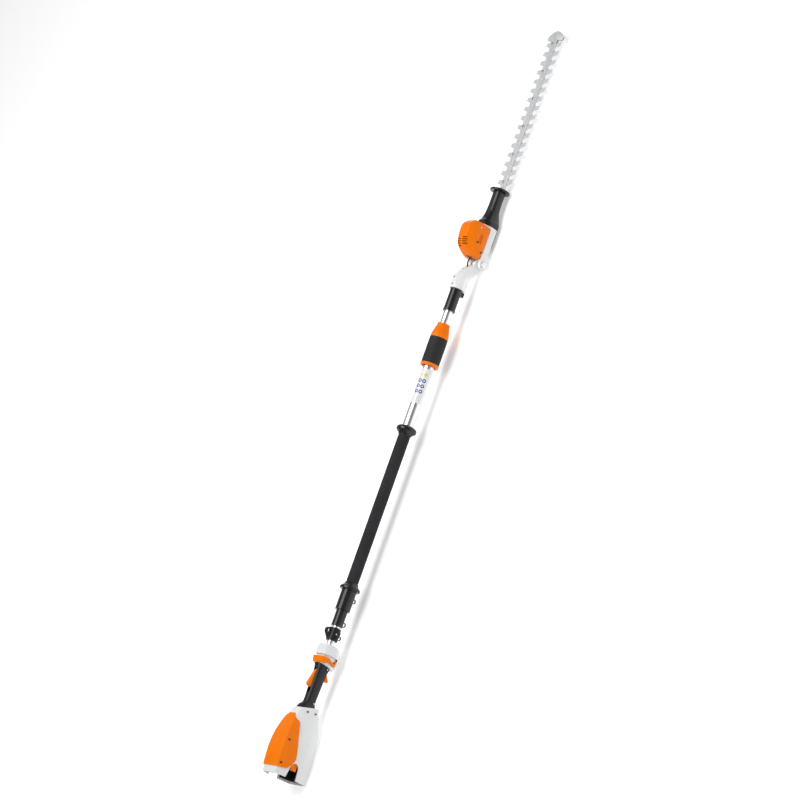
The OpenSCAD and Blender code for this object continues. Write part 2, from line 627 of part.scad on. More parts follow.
// ---------- gear housing ----------
// Heights here are above the pivot
floor_z = -8;
box_z = -5;
lid_z = 18;
top_z = 21;
box_x0 = 28;
box_x1 = 121;
face_x = 124;
face_tilt = 4;
gear_x = 63;
axle_z0 = floor_z + 1;
gear_m = 1;
gear_span = gear_m * (pinion_teeth + crank_teeth) / 2;
motor_x = gear_x + gear_span;
blade_z = 5;
module bulkhead_cut(x) translate([x, 0, floor_z]) rotate([0, face_tilt, 0]) translate([0, -80, -40]) cube([200, 160, 140]);
function duct_section(g, zb = floor_z) = section(19, gear_hw - 1, gear_hw - 5, zb, 0, 22, 45, g);
module gear_housing() color(white) head() difference() {
    union() {
        for (side = [-1, 1]) hull() {
            translate([0, 0, 0]) cross_pin(side > 0 ? ear_y : -ear_y - ear_t, side > 0 ? ear_y + ear_t : -ear_y, 30);
            translate([box_x0, side > 0 ? gear_hw - ear_t : -gear_hw, floor_z]) cube([4, ear_t, top_z - floor_z]);
        }
        loft([[box_x0 - 4, section(gear_hw - 4, gear_hw, gear_hw - 4, floor_z, floor_z + 6, top_z - 2, top_z)],
            [160, section(gear_hw - 4, gear_hw, gear_hw - 4, floor_z, floor_z + 6, top_z - 2, top_z)]]);
        difference() {
            smooth_loft([[face_x - 12, duct_section(0)], [160, duct_section(0)]], 9, 1);
            bulkhead_cut(face_x - 9 + 200);
            translate([face_x - 7, 0, floor_z]) rotate([0, face_tilt, 0]) translate([-200, -80, -40]) cube([200, 160, 140]);
        }
    }
    bulkhead_cut(face_x);
    // room between the ears, and the gear chamber
    translate([-40, -ear_y, -60]) cube([64, 2 * ear_y, 120]);
    translate([box_x0, -gear_hw + 3, box_z]) cube([box_x1 - box_x0 - 4, 2 * gear_hw - 6, 60 - box_z]);
    translate([box_x1 - 10, -blade_bar_w / 2 - 1, lower_rail_z - rail_t - fit])
        cube([60, blade_bar_w + 2, upper_rail_z - lower_rail_z + 2 * rail_t + 2 * fit]);
    cross_pin(-60, 60, bolt_d + 2 * fit);
    translate([gear_x, 0, 0]) upright(-30, 0, 8 + 2 * fit);
}
module gearbox_lid() color(alu) head() difference() {
    translate([box_x0 + gap, -gear_hw + 3 + gap, lid_z]) cube([box_x1 - box_x0 - 4 - 2 * gap, 2 * gear_hw - 6 - 2 * gap, 3]);
    translate([motor_x, 0, 0]) upright(0, 60, 19 + 2 * fit);
    translate([gear_x, 0, 0]) upright(-30, 60, 8 + 2 * fit);
}
module base_plate() color(black) head() loft([
    [box_x0 + 16, section(22, 22, 20, floor_z - 3, floor_z - 2.4, floor_z - 1, floor_z - fit)],
    [box_x0 + 40, section(29, 29, 26, floor_z - 3, floor_z - 2.4, floor_z - 1, floor_z - fit)],
    [face_x - 0.6, section(29, 29, 26, floor_z - 3, floor_z - 2.4, floor_z - 1, floor_z - fit)]]);
function cover_section(x, top, mid, zh, zt, g) = [x, section(top, mid, mid - 1, top_z + fit + 3 * g, 30, zh, zt, g)];
function cover_stations(g) = [
    cover_section(cover_x0 - g, 16, 27, 37, 50, g),
    cover_section(19, 20, 33, 43, 63, g),
    cover_section(36, 21, 36, 52, 87, g),
    cover_section(60, 21, 36, 63, 95.5, g),
    cover_section(86, 21, 36, 74, 98, g),
    cover_section(106, 21, 35, 79, 95, g),
    cover_section(122, 22, 32, 68, 81, g),
    cover_section(130 + g, 21, 31, 62, 72, g)];
module vent_rows() {
    for (i = [0:3]) {
        translate([38 + i * 6.5 - 1.6, -23, 50]) cube([3.2, 19, 60]);
        translate([32 + i * 6.5 - 1.6, 4, 50]) cube([3.2, 18, 60]);
    }
    for (i = [0:5]) for (z = [43, 50])
        translate([57 + i * 5.2, 0, z]) rotate([0, 25, 0]) translate([-1.2, -60, -2.6]) cube([2.4, 120, 5.2]);
}
module motor_cover() color(orange) head() difference() {
    smooth_loft(cover_stations(0), 6);
    difference() {
        smooth_loft(cover_stations(-shell_wall), 6);
        bulkhead_cut(face_x - 7 - gap - shell_wall);
    }
    bulkhead_cut(face_x - 7 - gap);
    vent_rows();
    translate([0, -8, top_z - 10]) cube([30, 16, 40]);
}
module head_screws() color(black) head() for (side = [-1, 1]) {
    for (p = [[31, 35.9, 29], [56, 36.2, 56]])
        translate([p[0], side * p[1], p[2]]) rotate([-side * 90, 0, 0]) cylinder(d = 7, h = 1.6);
    translate([105, side * 35.4, 60]) rotate([-side * 90, 0, 0]) cylinder(d = 6, h = 1.6);
}

// ---------- motor and gears ----------
module motor_stator() color("#7a4a2a") head(motor_x) {
    difference() {
        upright(27, 57, 38);
        upright(20, 60, 27);
    }
    for (a = [0:60:359]) rotate([0, 0, a]) translate([14, -3, top_z]) cube([4, 6, 27 - top_z]);
}
module motor_bearings() color(steel) head(motor_x) for (z = [lid_z, 62]) difference() {
    upright(z, z + 6, 19);
    upright(z - eps, z + 7, 6 + 2 * slip);
}
// Tooth outline of an involute gear with backlash
pressure = 20;
backlash = 0.22;
function inv(a) = tan(a) - a * PI / 180;
function roll_angle(r, rb) = r <= rb ? 0 : acos(rb / r);
function flank(z, m, r) = let(rp = m * z / 2, rb = rp * cos(pressure), half_tooth = 90 / z - backlash / rp * 90 / PI)
    half_tooth + (inv(pressure) - inv(roll_angle(r, rb))) * 180 / PI;
function gear_points(z, m) = let(rp = m * z / 2, rb = rp * cos(pressure), ra = rp + m * 0.95, rf = rp - 1.2 * m,
        rs = [for (i = [0:4]) max(rb, rf) + (ra - max(rb, rf)) * i / 4])
    [for (i = [0:z - 1]) each concat(
        [rf * [cos(i * 360 / z - flank(z, m, rs[0]) - 1 / z), sin(i * 360 / z - flank(z, m, rs[0]) - 1 / z)]],
        [for (r = rs) r * [cos(i * 360 / z - flank(z, m, r)), sin(i * 360 / z - flank(z, m, r))]],
        [for (k = [4:-1:0]) rs[k] * [cos(i * 360 / z + flank(z, m, rs[k])), sin(i * 360 / z + flank(z, m, rs[k]))]],
        [rf * [cos(i * 360 / z + flank(z, m, rs[0]) + 1 / z), sin(i * 360 / z + flank(z, m, rs[0]) + 1 / z)]])];
gear_z0 = blade_z + 4.4;
gear_z1 = gear_z0 + 5.4;
module motor_rotor() color(steel) head(motor_x) {
    upright(gear_z0 - 0.8, 82, 6);
    upright(28, 56, 26);
    translate([0, 0, gear_z0]) linear_extrude(gear_z1 - gear_z0 + 1)
        rotate([0, 0, pinion_teeth % 2 == 0 ? 180 / pinion_teeth : 0]) polygon(gear_points(pinion_teeth, gear_m));
    upright(71, 73, 38);
    for (a = [0:40:359]) rotate([0, 0, a]) translate([6, -1, 73]) cube([12.5, 2, 6]);
    upright(73, 79, 14);
}
cam_d = 13;
// The crank rests a third of a turn on, so each blade stands half a throw from its middle
cam_angle = 120;
blade_lead = -throw * cos(cam_angle);
axle_d = 8;
module crank_gear() color(steel) head(gear_x) rotate([0, 0, cam_angle]) difference() {
    union() {
        translate([0, 0, gear_z0]) linear_extrude(gear_z1 - gear_z0) polygon(gear_points(crank_teeth, gear_m));
        translate([throw, 0, 0]) upright(blade_z + 0.2, gear_z0, cam_d);
        translate([-throw, 0, 0]) upright(blade_z - 3.2, blade_z, cam_d);
        upright(blade_z - 3.2, gear_z0, axle_d + 6);
    }
    upright(-20, 30, axle_d + 2 * slip);
}
module crank_axle() color(steel) head(gear_x) {
    upright(axle_z0, lid_z + 2, axle_d);
    difference() {
        upright(box_z + 0.2, blade_z - 3.6, 15);
        upright(-20, 20, axle_d + 0.2);
    }
}

// ---------- guard, guide bar and blades ----------
guard_x0 = 138;
guard_x1 = 258;
guard_cz = joint_drop - pole_z + guard_d / 2;
function guard_section(x, top, mid, low, zb, zl, zh, zt, g) = [x, section(top, mid, low, zb, zl, zh, zt, g)];
function round_section(x, r, g) = [x, section(r * 0.52, r, r * 0.52, guard_cz - r, guard_cz - r * 0.5, guard_cz + r * 0.5, guard_cz + r, g)];
function guard_stations(g) = [
    [face_x - 20, duct_section(g, -11)],
    [guard_x0, duct_section(g, -13)],
    [guard_x0 + 14, section(18, 27, 22, -13, 0, 20, 37, g)],
    [guard_x0 + 34, section(15, 22, 16, -10, 3, 18, 32, g)],
    round_section(guard_x0 + 54, 19.5, g),
    round_section(guard_x0 + 84, 18.8, g),
    round_section(guard_x1, 19, g)];
module blade_guard() color(black) head() difference() {
    union() {
        smooth_loft(guard_stations(0), 9);
        translate([guard_x1 - 6, 0, guard_cz]) turned() polygon([[0, 0], [guard_d / 2 - 4, 0], [guard_d / 2 - 1, 1.5],
            [guard_d / 2, 4], [guard_d / 2 - 1.2, 7], [guard_d / 2 - 10, 10], [0, 12]]);
    }
    smooth_loft([for (s = guard_stations(-shell_wall)) s[0] > guard_x1 - 1 ? [guard_x1 - 3, s[1]] : s], 9);
    translate([face_x + fit, 0, floor_z]) rotate([0, face_tilt, 0]) translate([-200, -80, -90]) cube([200, 160, 240]);
    translate([guard_x1 - 20, -blade_bar_w / 2 - 1.5, -2]) cube([60, blade_bar_w + 3, 14]);
}
bar_x0 = face_x - 14;
tooth_x0 = 292;
tip_x = head_l - 38;
tooth_l = (blade_w - blade_bar_w) / 2;
tooth_root = 12;
tooth_tip = 6;
bolt_n = 6;
bolt_step = (tip_x - tooth_x0 - 10) / (bolt_n - 1);
function bolt_x(i) = tooth_x0 + i * bolt_step;
// One tooth, drop shaped and leaning forwards; side is 1 for +Y and -1 for -Y
function tooth_points(x, side) = let(y = blade_bar_w / 2, tip = x + tooth_lean) [
    [x - tooth_root / 2 - 1.5, side * y],
    [x - tooth_root / 2 + 0.6, side * (y + 3)],
    [tip - tooth_tip / 2 - 0.4, side * (y + tooth_l - 5)],
    [tip - tooth_tip / 2 + 0.6, side * (y + tooth_l - 1.6)],
    [tip, side * (y + tooth_l)],
    [tip + tooth_tip / 2 - 0.6, side * (y + tooth_l - 1.6)],
    [tip + tooth_tip / 2 + 0.4, side * (y + tooth_l - 5)],
    [x + tooth_root / 2 + 1.4, side * (y + 3)],
    [x + tooth_root / 2 + 4, side * y]];
yoke_x = 26;
yoke_hw = 20;
yoke_slot_x = cam_d / 2 + 2 * throw + 0.8;
yoke_slot_y = cam_d / 2 + throw + 0.8;
teeth_fit = min(teeth, floor((tip_x - tooth_x0 - 10) / pitch) + 1);
module blade_outline() difference() {
    union() {
        polygon(concat([[gear_x + 20, -blade_bar_w / 2 + 2], [tooth_x0 - 20, -blade_bar_w / 2 + 2], [tooth_x0 - 16, -blade_bar_w / 2]],
            [for (i = [0:teeth_fit - 1]) each tooth_points(tooth_x0 + i * pitch, -1)],
            [[tooth_x0 + (teeth_fit - 1) * pitch + 9, -blade_bar_w / 2], [tooth_x0 + (teeth_fit - 1) * pitch + 9, blade_bar_w / 2]],
            [for (i = [teeth_fit - 1:-1:0]) let(t = tooth_points(tooth_x0 + i * pitch, 1)) each [for (k = [8:-1:0]) t[k]]],
            [[tooth_x0 - 16, blade_bar_w / 2], [tooth_x0 - 20, blade_bar_w / 2 - 2], [gear_x + 20, blade_bar_w / 2 - 2]]));
        translate([gear_x - yoke_x, -yoke_hw]) square([2 * yoke_x, 2 * yoke_hw]);
    }
    translate([gear_x - yoke_slot_x, -yoke_slot_y]) square([2 * yoke_slot_x, 2 * yoke_slot_y]);
    for (i = [0:bolt_n - 1]) translate([bolt_x(i), 0]) hull_slot(2 * throw + 1, 4.6);
}
module hull_slot(l, r) {
    square([l, 2 * r], center = true);
    for (side = [-1, 1]) translate([side * l / 2, 0]) circle(r = r);
}
module upper_blade() color(alu) head() translate([-blade_lead, 0, blade_z + 0.1]) linear_extrude(blade_t) blade_outline();
module lower_blade() color(alu) head() translate([blade_lead, 0, blade_z - 0.1 - blade_t]) linear_extrude(blade_t) blade_outline();
rail_t = 2;
rail_hw = blade_bar_w / 2 - 1.5;
rib_hw = 8;
upper_rail_z = blade_z + blade_t + 0.3;
lower_rail_z = blade_z - blade_t - 0.3;
module tip_outline() polygon([[tip_x - 6, -rail_hw], [tip_x + 4, -rail_hw], [tip_x + 2, -28], [tip_x + 5, -36],
    [tip_x + 12, -38], [tip_x + 22, -33], [tip_x + 32, -20], [tip_x + 37, -8], [tip_x + 38, 0],
    [tip_x + 37, 8], [tip_x + 32, 20], [tip_x + 22, 33], [tip_x + 12, 38], [tip_x + 5, 36],
    [tip_x + 2, 28], [tip_x + 4, rail_hw], [tip_x - 6, rail_hw]]);
module guide_bar() color(alu) head() difference() {
    union() {
        translate([bar_x0, -rail_hw, upper_rail_z]) cube([tip_x - bar_x0, 2 * rail_hw, rail_t]);
        translate([guard_x1 + 8, -rib_hw, upper_rail_z]) cube([tip_x - guard_x1 - 14, 2 * rib_hw, rail_t + 2.6]);
        translate([guard_x1 - 40, -rail_hw + 2, lower_rail_z - rail_t]) cube([tip_x - guard_x1 + 40, 2 * rail_hw - 4, rail_t]);
        translate([0, 0, lower_rail_z - rail_t]) linear_extrude(rail_t) tip_outline();
        translate([0, 0, upper_rail_z]) linear_extrude(rail_t) tip_outline();
        translate([0, 0, lower_rail_z - rail_t]) linear_extrude(upper_rail_z - lower_rail_z + 2 * rail_t)
            intersection() {
                tip_outline();
                translate([tip_x + 17, -50]) square([60, 100]);
            }
    }
    for (i = [0:bolt_n - 1]) translate([bolt_x(i), 0, 0]) upright(-30, 30, 6 + 2 * fit);
}
module blade_bolts() color(steel) head() for (i = [0:bolt_n - 1]) translate([bolt_x(i), 0, 0]) {
    upright(lower_rail_z - rail_t - 3, upper_rail_z + rail_t + 2.6, 6);
    upright(upper_rail_z + rail_t + 2.6, upper_rail_z + rail_t + 4.6, 9.5);
    translate([0, 0, lower_rail_z - rail_t - 3.4]) cylinder(d = 10, h = 3.2, $fn = 6);
}

// Cable from the pole to the motor, looping over the joint
cable_d = 6;
cable_path = [[-24, 0, 32], [-14, 0, 37], [-6, 0, 39], [2, 0, 39], [9, 0, 36], [16, 0, 33], [24, 0, 29]];
module cable_bore() translate([-24, 0, 32]) rotate([0, -26.6, 0]) rod(-1, 30, cable_d + 2 * gap);
function direction(p, i) = let(a = p[max(i - 1, 0)], b = p[min(i + 1, len(p) - 1)]) (b - a) / norm(b - a);
module motor_cable() color(black) head() {
    n = 12;
    points = [for (i = [0:len(cable_path) - 1]) let(d = direction(cable_path, i), u = [-d[2], 0, d[0]])
        for (j = [0:n - 1]) cable_path[i] + cable_d / 2 * (cos(j * 360 / n) * [0, 1, 0] + sin(j * 360 / n) * u)];
    m = len(cable_path);
    polyhedron(points = points, faces = concat([[for (j = [0:n - 1]) j]],
        [for (i = [0:m - 2]) for (j = [0:n - 1]) [i * n + j, (i + 1) * n + j, (i + 1) * n + (j + 1) % n, i * n + (j + 1) % n]],
        [[for (j = [n - 1:-1:0]) (m - 1) * n + j]]));
}

rear_tube();
outer_tube();
reducer_sleeve();
cable_guides();
rear_hand_guard();
grip_hose();
front_hand_guard();
lock_collar();
collet();
spiral_cable();
carry_clamp_top();
carry_clamp_base();
carry_clamp_screws();
housing_right();
housing_left();
top_cover();
housing_screws();
battery_guide();
contact_block();
contact_blades();
power_board();
rubber_feet();
latch_right();
latch_left();
handle_right();
handle_left();
handle_screws();
trigger();
lockout_lever();
trigger_switch();
control_right();
control_left();
unlock_slide();
control_board();
twist_sleeve();
twist_grip();
inner_tube();
guide_bush();
slide_sleeve();
slide_spring();
joint_base();
joint_screws();
pivot_bolt();
detent_plate();
gear_housing();
gearbox_lid();
base_plate();
motor_cover();
head_screws();
motor_stator();
motor_rotor();
motor_bearings();
crank_gear();
crank_axle();
blade_guard();
guide_bar();
blade_bolts();
upper_blade();
lower_blade();
motor_cable();
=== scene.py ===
"""Looks of a telescopic pole hedge trimmer: shells, screws, grips, lead, ground blades and their finishes."""

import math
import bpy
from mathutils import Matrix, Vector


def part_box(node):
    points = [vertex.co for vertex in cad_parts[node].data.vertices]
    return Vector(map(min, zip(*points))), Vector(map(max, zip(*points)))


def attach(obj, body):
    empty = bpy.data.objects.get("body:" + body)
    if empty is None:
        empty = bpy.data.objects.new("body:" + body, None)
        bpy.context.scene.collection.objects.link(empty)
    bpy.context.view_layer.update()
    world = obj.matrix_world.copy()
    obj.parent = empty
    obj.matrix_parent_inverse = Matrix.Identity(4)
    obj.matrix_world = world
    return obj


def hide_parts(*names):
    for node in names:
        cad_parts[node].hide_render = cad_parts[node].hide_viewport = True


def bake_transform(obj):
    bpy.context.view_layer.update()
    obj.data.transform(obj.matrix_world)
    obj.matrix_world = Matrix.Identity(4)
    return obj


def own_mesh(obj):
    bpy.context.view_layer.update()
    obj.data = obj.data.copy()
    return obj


bl_info = {
    "name": "Pole hedge trimmer looks",
    "version": (1, 0, 0),
    "blender": (4, 5, 0),
    "location": "3D View > Sidebar > Trimmer",
    "description": "Dresses the trimmer's frame with detailed pieces and finishes",
    "category": "Add Mesh",
}

import bmesh
import bpy
from bpy.props import FloatProperty, FloatVectorProperty, IntProperty, PointerProperty
from mathutils import Matrix, Vector

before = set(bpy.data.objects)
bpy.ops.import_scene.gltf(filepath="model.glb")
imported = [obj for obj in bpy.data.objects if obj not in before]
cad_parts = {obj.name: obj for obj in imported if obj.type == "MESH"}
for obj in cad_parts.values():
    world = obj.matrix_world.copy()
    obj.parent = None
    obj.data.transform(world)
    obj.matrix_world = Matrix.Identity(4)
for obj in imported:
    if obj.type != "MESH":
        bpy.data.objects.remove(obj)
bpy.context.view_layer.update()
X = Vector((1, 0, 0))
MM = 0.001

# teeth of the blades: where their row starts along X, and how far from the middle their roots are
TOOTH_ROW_START = 0.662
TOOTH_ROOT = 0.0155

STAR_LOBES = 6  # points of a screw's star recess
SHADE_PLATE_DEPTH = 0.0010  # thickness of a vent's dark plate, painted shade for the inside of the hood
LOUVRE_ROWS = 6  # rows of that dark plate, every other one raised
LABEL_FILM = 0.00012  # thickness of the tube's label
LABEL_GAP = 0.00008  # between the tube and its label
BOOT_LENGTH = 0.011  # ribbed sleeve at each end of the motor lead
BOOT_PITCH = 0.0028  # from rib to rib on that sleeve
FLOOR_CURVE = 8  # radius of the floor's upturned edge
WORLD_LIGHT = 0.15
FLOOR_GLOW = 0.40
CAMERA_DISTANCE = 11.7
CAMERA_SHIFT = (-0.06317, -0.02527)  # to the right and up


# ---------------------------------------------------------------- sizes and colours


class TrimmerSizes(bpy.types.PropertyGroup):
    edge_round: FloatProperty(name="Edge round", description="Width of the rounded edges on moulded pieces",
        default=0.0007, min=0.0001, max=0.002, precision=5, unit="LENGTH")
    metal_round: FloatProperty(name="Metal edge", description="Width of the broken edges on metal pieces",
        default=0.0003, min=0.00005, max=0.001, precision=5, unit="LENGTH")
    tooth_grind: FloatProperty(name="Tooth grind", description="Width of the ground face on a cutting edge",
        default=0.0011, min=0.0003, max=0.0018, precision=5, unit="LENGTH")
    cable_d: FloatProperty(name="Motor lead", description="Diameter of the lead between pole and motor",
        default=0.006, min=0.004, max=0.008, precision=4, unit="LENGTH")
    spring_wire: FloatProperty(name="Spring wire", description="Wire diameter of the sliding sleeve's spring",
        default=0.0014, min=0.0008, max=0.002, precision=5, unit="LENGTH")
    spring_turns: IntProperty(name="Spring turns", description="Turns of the sliding sleeve's spring",
        default=9, min=5, max=14)
    grip_flutes: IntProperty(name="Grip flutes", description="Flutes round the twist grip",
        default=30, min=12, max=48)
    floor_r: FloatProperty(name="Floor radius", description="Radius of the flat part of the floor",
        default=30, min=10, max=60, unit="LENGTH")
    lens: FloatProperty(name="Lens", description="Focal length of the camera in millimetres",
        default=166.7, min=30, max=300)


def colour(name, text, value):
    return FloatVectorProperty(name=name, description=text, default=value, min=0, max=1, size=3,
        subtype="COLOR")


class TrimmerColours(bpy.types.PropertyGroup):
    orange: colour("Orange shell", "Moulded orange covers and levers", (0.95, 0.205, 0.0012))
    white: colour("White shell", "Moulded light grey shells", (0.78, 0.79, 0.79))
    cast: colour("White casting", "Painted light metal castings", (0.83, 0.84, 0.84))
    black: colour("Black plastic", "Moulded black pieces", (0.014, 0.014, 0.015))
    foam: colour("Foam", "Soft foam of the long grip", (0.022, 0.022, 0.024))
    rubber: colour("Rubber", "Rubber grips and feet", (0.018, 0.018, 0.019))
    aluminium: colour("Aluminium", "Drawn aluminium tubes", (0.86, 0.87, 0.88))
    steel: colour("Bright steel", "Plated screws and bolts", (0.66, 0.67, 0.69))
    dark_steel: colour("Dark steel", "Blackened screws", (0.07, 0.07, 0.075))
    blade: colour("Blade steel", "Ground cutting blades", (0.80, 0.81, 0.82))
    copper: colour("Copper", "Motor windings", (0.72, 0.30, 0.13))
    brass: colour("Contacts", "Battery contact blades", (0.80, 0.60, 0.28))
    board: colour("Board", "Circuit boards", (0.02, 0.13, 0.05))
    label_blue: colour("Label blue", "Printed discs on the tube's label", (0.008, 0.045, 0.27))
    label_yellow: colour("Label yellow", "Printed bars on the tube's label", (0.85, 0.62, 0.03))


def sizes():
    return bpy.context.scene.trimmer_sizes


def colours():
    return bpy.context.scene.trimmer_colours


# ---------------------------------------------------------------- shader building


def node(tree, kind, at, props=None, **inputs):
    """A shader node at a place in the layout, with its settings, values and incoming links."""
    n = tree.nodes.new(kind)
    n.location = (at[0] * 190, -at[1] * 170)
    for key, value in (props or {}).items():
        setattr(n, key, value)
    for key, value in inputs.items():
        numbered = key[0] == "i" and key[1:].isdigit()
        socket = n.inputs[int(key[1:]) if numbered else key.replace("_", " ")]
        if isinstance(value, bpy.types.NodeSocket):
            tree.links.new(value, socket)
        else:
            socket.default_value = value
    return n


def group(name, inputs, outputs):
    """An empty node group with its named sockets; gives the tree, its input node and its output node."""
    tree = bpy.data.node_groups.new(name, "ShaderNodeTree")
    for label, kind, value in inputs:
        s = tree.interface.new_socket(name=label, in_out="INPUT", socket_type=kind)
        if value is not None:
            s.default_value = value
    for label in outputs:
        tree.interface.new_socket(name=label, in_out="OUTPUT", socket_type="NodeSocketFloat")
    return tree, node(tree, "NodeGroupInput", (-6, 0)), node(tree, "NodeGroupOutput", (4, 0))


VEC, NUM = "NodeSocketVector", "NodeSocketFloat"


def build_groups():
    """The effects that the finishes share: grain, cells, lines, tone drift, handling wear and edge rub."""
    t, i, o = group("Moulded grain", [("Vector", VEC, None), ("Scale", NUM, 900.0)], ["Height"])
    a = node(t, "ShaderNodeTexNoise", (-3, 0), Vector=i.outputs[0], Scale=i.outputs[1], Detail=3.0,
        Roughness=0.6)
    v = node(t, "ShaderNodeTexVoronoi", (-3, 2), {"feature": "SMOOTH_F1"}, Vector=i.outputs[0],
        Scale=i.outputs[1])
    m = node(t, "ShaderNodeMath", (0, 0), {"operation": "MULTIPLY_ADD"}, i0=v.outputs["Distance"], i1=0.6,
        i2=a.outputs[0])
    t.links.new(m.outputs[0], o.inputs[0])

    t, i, o = group("Foam cells", [("Vector", VEC, None), ("Scale", NUM, 700.0)], ["Height", "Shade"])
    v = node(t, "ShaderNodeTexVoronoi", (-3, 0), {"feature": "F1"}, Vector=i.outputs[0], Scale=i.outputs[1],
        Randomness=1.0)
    a = node(t, "ShaderNodeTexNoise", (-3, 2), Vector=i.outputs[0], Scale=120.0, Detail=4.0)
    r = node(t, "ShaderNodeMapRange", (-1, 0), {"interpolation_type": "SMOOTHSTEP"},
        Value=v.outputs["Distance"], From_Min=0.1, From_Max=0.7)
    m = node(t, "ShaderNodeMath", (1, 0), {"operation": "MULTIPLY_ADD"}, i0=a.outputs[0], i1=0.5,
        i2=r.outputs[0])
    t.links.new(m.outputs[0], o.inputs[0])
    s = node(t, "ShaderNodeMath", (1, 2), {"operation": "MULTIPLY"}, i0=r.outputs[0], i1=a.outputs[0])
    t.links.new(s.outputs[0], o.inputs[1])

    t, i, o = group("Drawn lines", [("Vector", VEC, None), ("Stretch", VEC, (4.0, 900.0, 900.0))], ["Lines"])
    p = node(t, "ShaderNodeVectorMath", (-4, 0), {"operation": "MULTIPLY"}, i0=i.outputs[0], i1=i.outputs[1])
    a = node(t, "ShaderNodeTexNoise", (-2, 0), Vector=p.outputs[0], Scale=1.0, Detail=5.0, Roughness=0.7)
    r = node(t, "ShaderNodeMapRange", (1, 0), Value=a.outputs[0], From_Min=0.3, From_Max=0.7)
    t.links.new(r.outputs[0], o.inputs[0])

    t, i, o = group("Tone drift", [("Vector", VEC, None), ("Scale", NUM, 14.0)], ["Shade"])
    a = node(t, "ShaderNodeTexNoise", (-3, 0), Vector=i.outputs[0], Scale=i.outputs[1], Detail=4.0,
        Roughness=0.55)
    r = node(t, "ShaderNodeMapRange", (0, 0), Value=a.outputs[0], From_Min=0.35, From_Max=0.65)
    t.links.new(r.outputs[0], o.inputs[0])

    t, i, o = group("Handling wear", [("Vector", VEC, None), ("Amount", NUM, 0.3)], ["Mask"])
    a = node(t, "ShaderNodeTexNoise", (-4, 0), Vector=i.outputs[0], Scale=22.0, Detail=3.0)
    b = node(t, "ShaderNodeTexNoise", (-4, 2), {"noise_dimensions": "3D"}, Vector=i.outputs[0], Scale=420.0,
        Detail=6.0, Roughness=0.75, Distortion=1.2)
    ra = node(t, "ShaderNodeMapRange", (-2, 0), Value=a.outputs[0], From_Min=0.5, From_Max=0.7)
    rb = node(t, "ShaderNodeMapRange", (-2, 2), Value=b.outputs[0], From_Min=0.52, From_Max=0.66)
    m = node(t, "ShaderNodeMath", (0, 0), {"operation": "MULTIPLY"}, i0=ra.outputs[0], i1=rb.outputs[0])
    k = node(t, "ShaderNodeMath", (2, 0), {"operation": "MULTIPLY"}, i0=m.outputs[0], i1=i.outputs[1])
    t.links.new(k.outputs[0], o.inputs[0])

    t, i, o = group("Edge rub", [("Vector", VEC, None), ("Edge", NUM, 0.0), ("Amount", NUM, 0.5)], ["Mask"])
    a = node(t, "ShaderNodeTexNoise", (-4, 0), Vector=i.outputs[0], Scale=160.0, Detail=5.0, Roughness=0.7)
    r = node(t, "ShaderNodeMapRange", (-2, 0), Value=a.outputs[0], From_Min=0.38, From_Max=0.68)
    m = node(t, "ShaderNodeMath", (0, 0), {"operation": "MULTIPLY"}, i0=r.outputs[0], i1=i.outputs[1])
    k = node(t, "ShaderNodeMath", (2, 0), {"operation": "MULTIPLY"}, i0=m.outputs[0], i1=i.outputs[2])
    t.links.new(k.outputs[0], o.inputs[0])


def use(tree, name, at, **inputs):
    """One of the shared effects, placed in a finish."""
    n = node(tree, "ShaderNodeGroup", at)
    n.node_tree = bpy.data.node_groups[name]
    for key, value in inputs.items():
        if isinstance(value, bpy.types.NodeSocket):
            tree.links.new(value, n.inputs[key])
        else:
            n.inputs[key].default_value = value
    return n


def mix(tree, at, mask, a, b):
    """A blend of two colours, each a colour or a socket."""
    n = node(tree, "ShaderNodeMix", at, {"data_type": "RGBA"}, i0=mask)
    for k, value in ((6, a), (7, b)):
        if isinstance(value, bpy.types.NodeSocket):
            tree.links.new(value, n.inputs[k])
        else:
            n.inputs[k].default_value = (*value, 1)
    return n.outputs[2]


def shade(c, k):
    return tuple(min(1.0, x * k) for x in c)


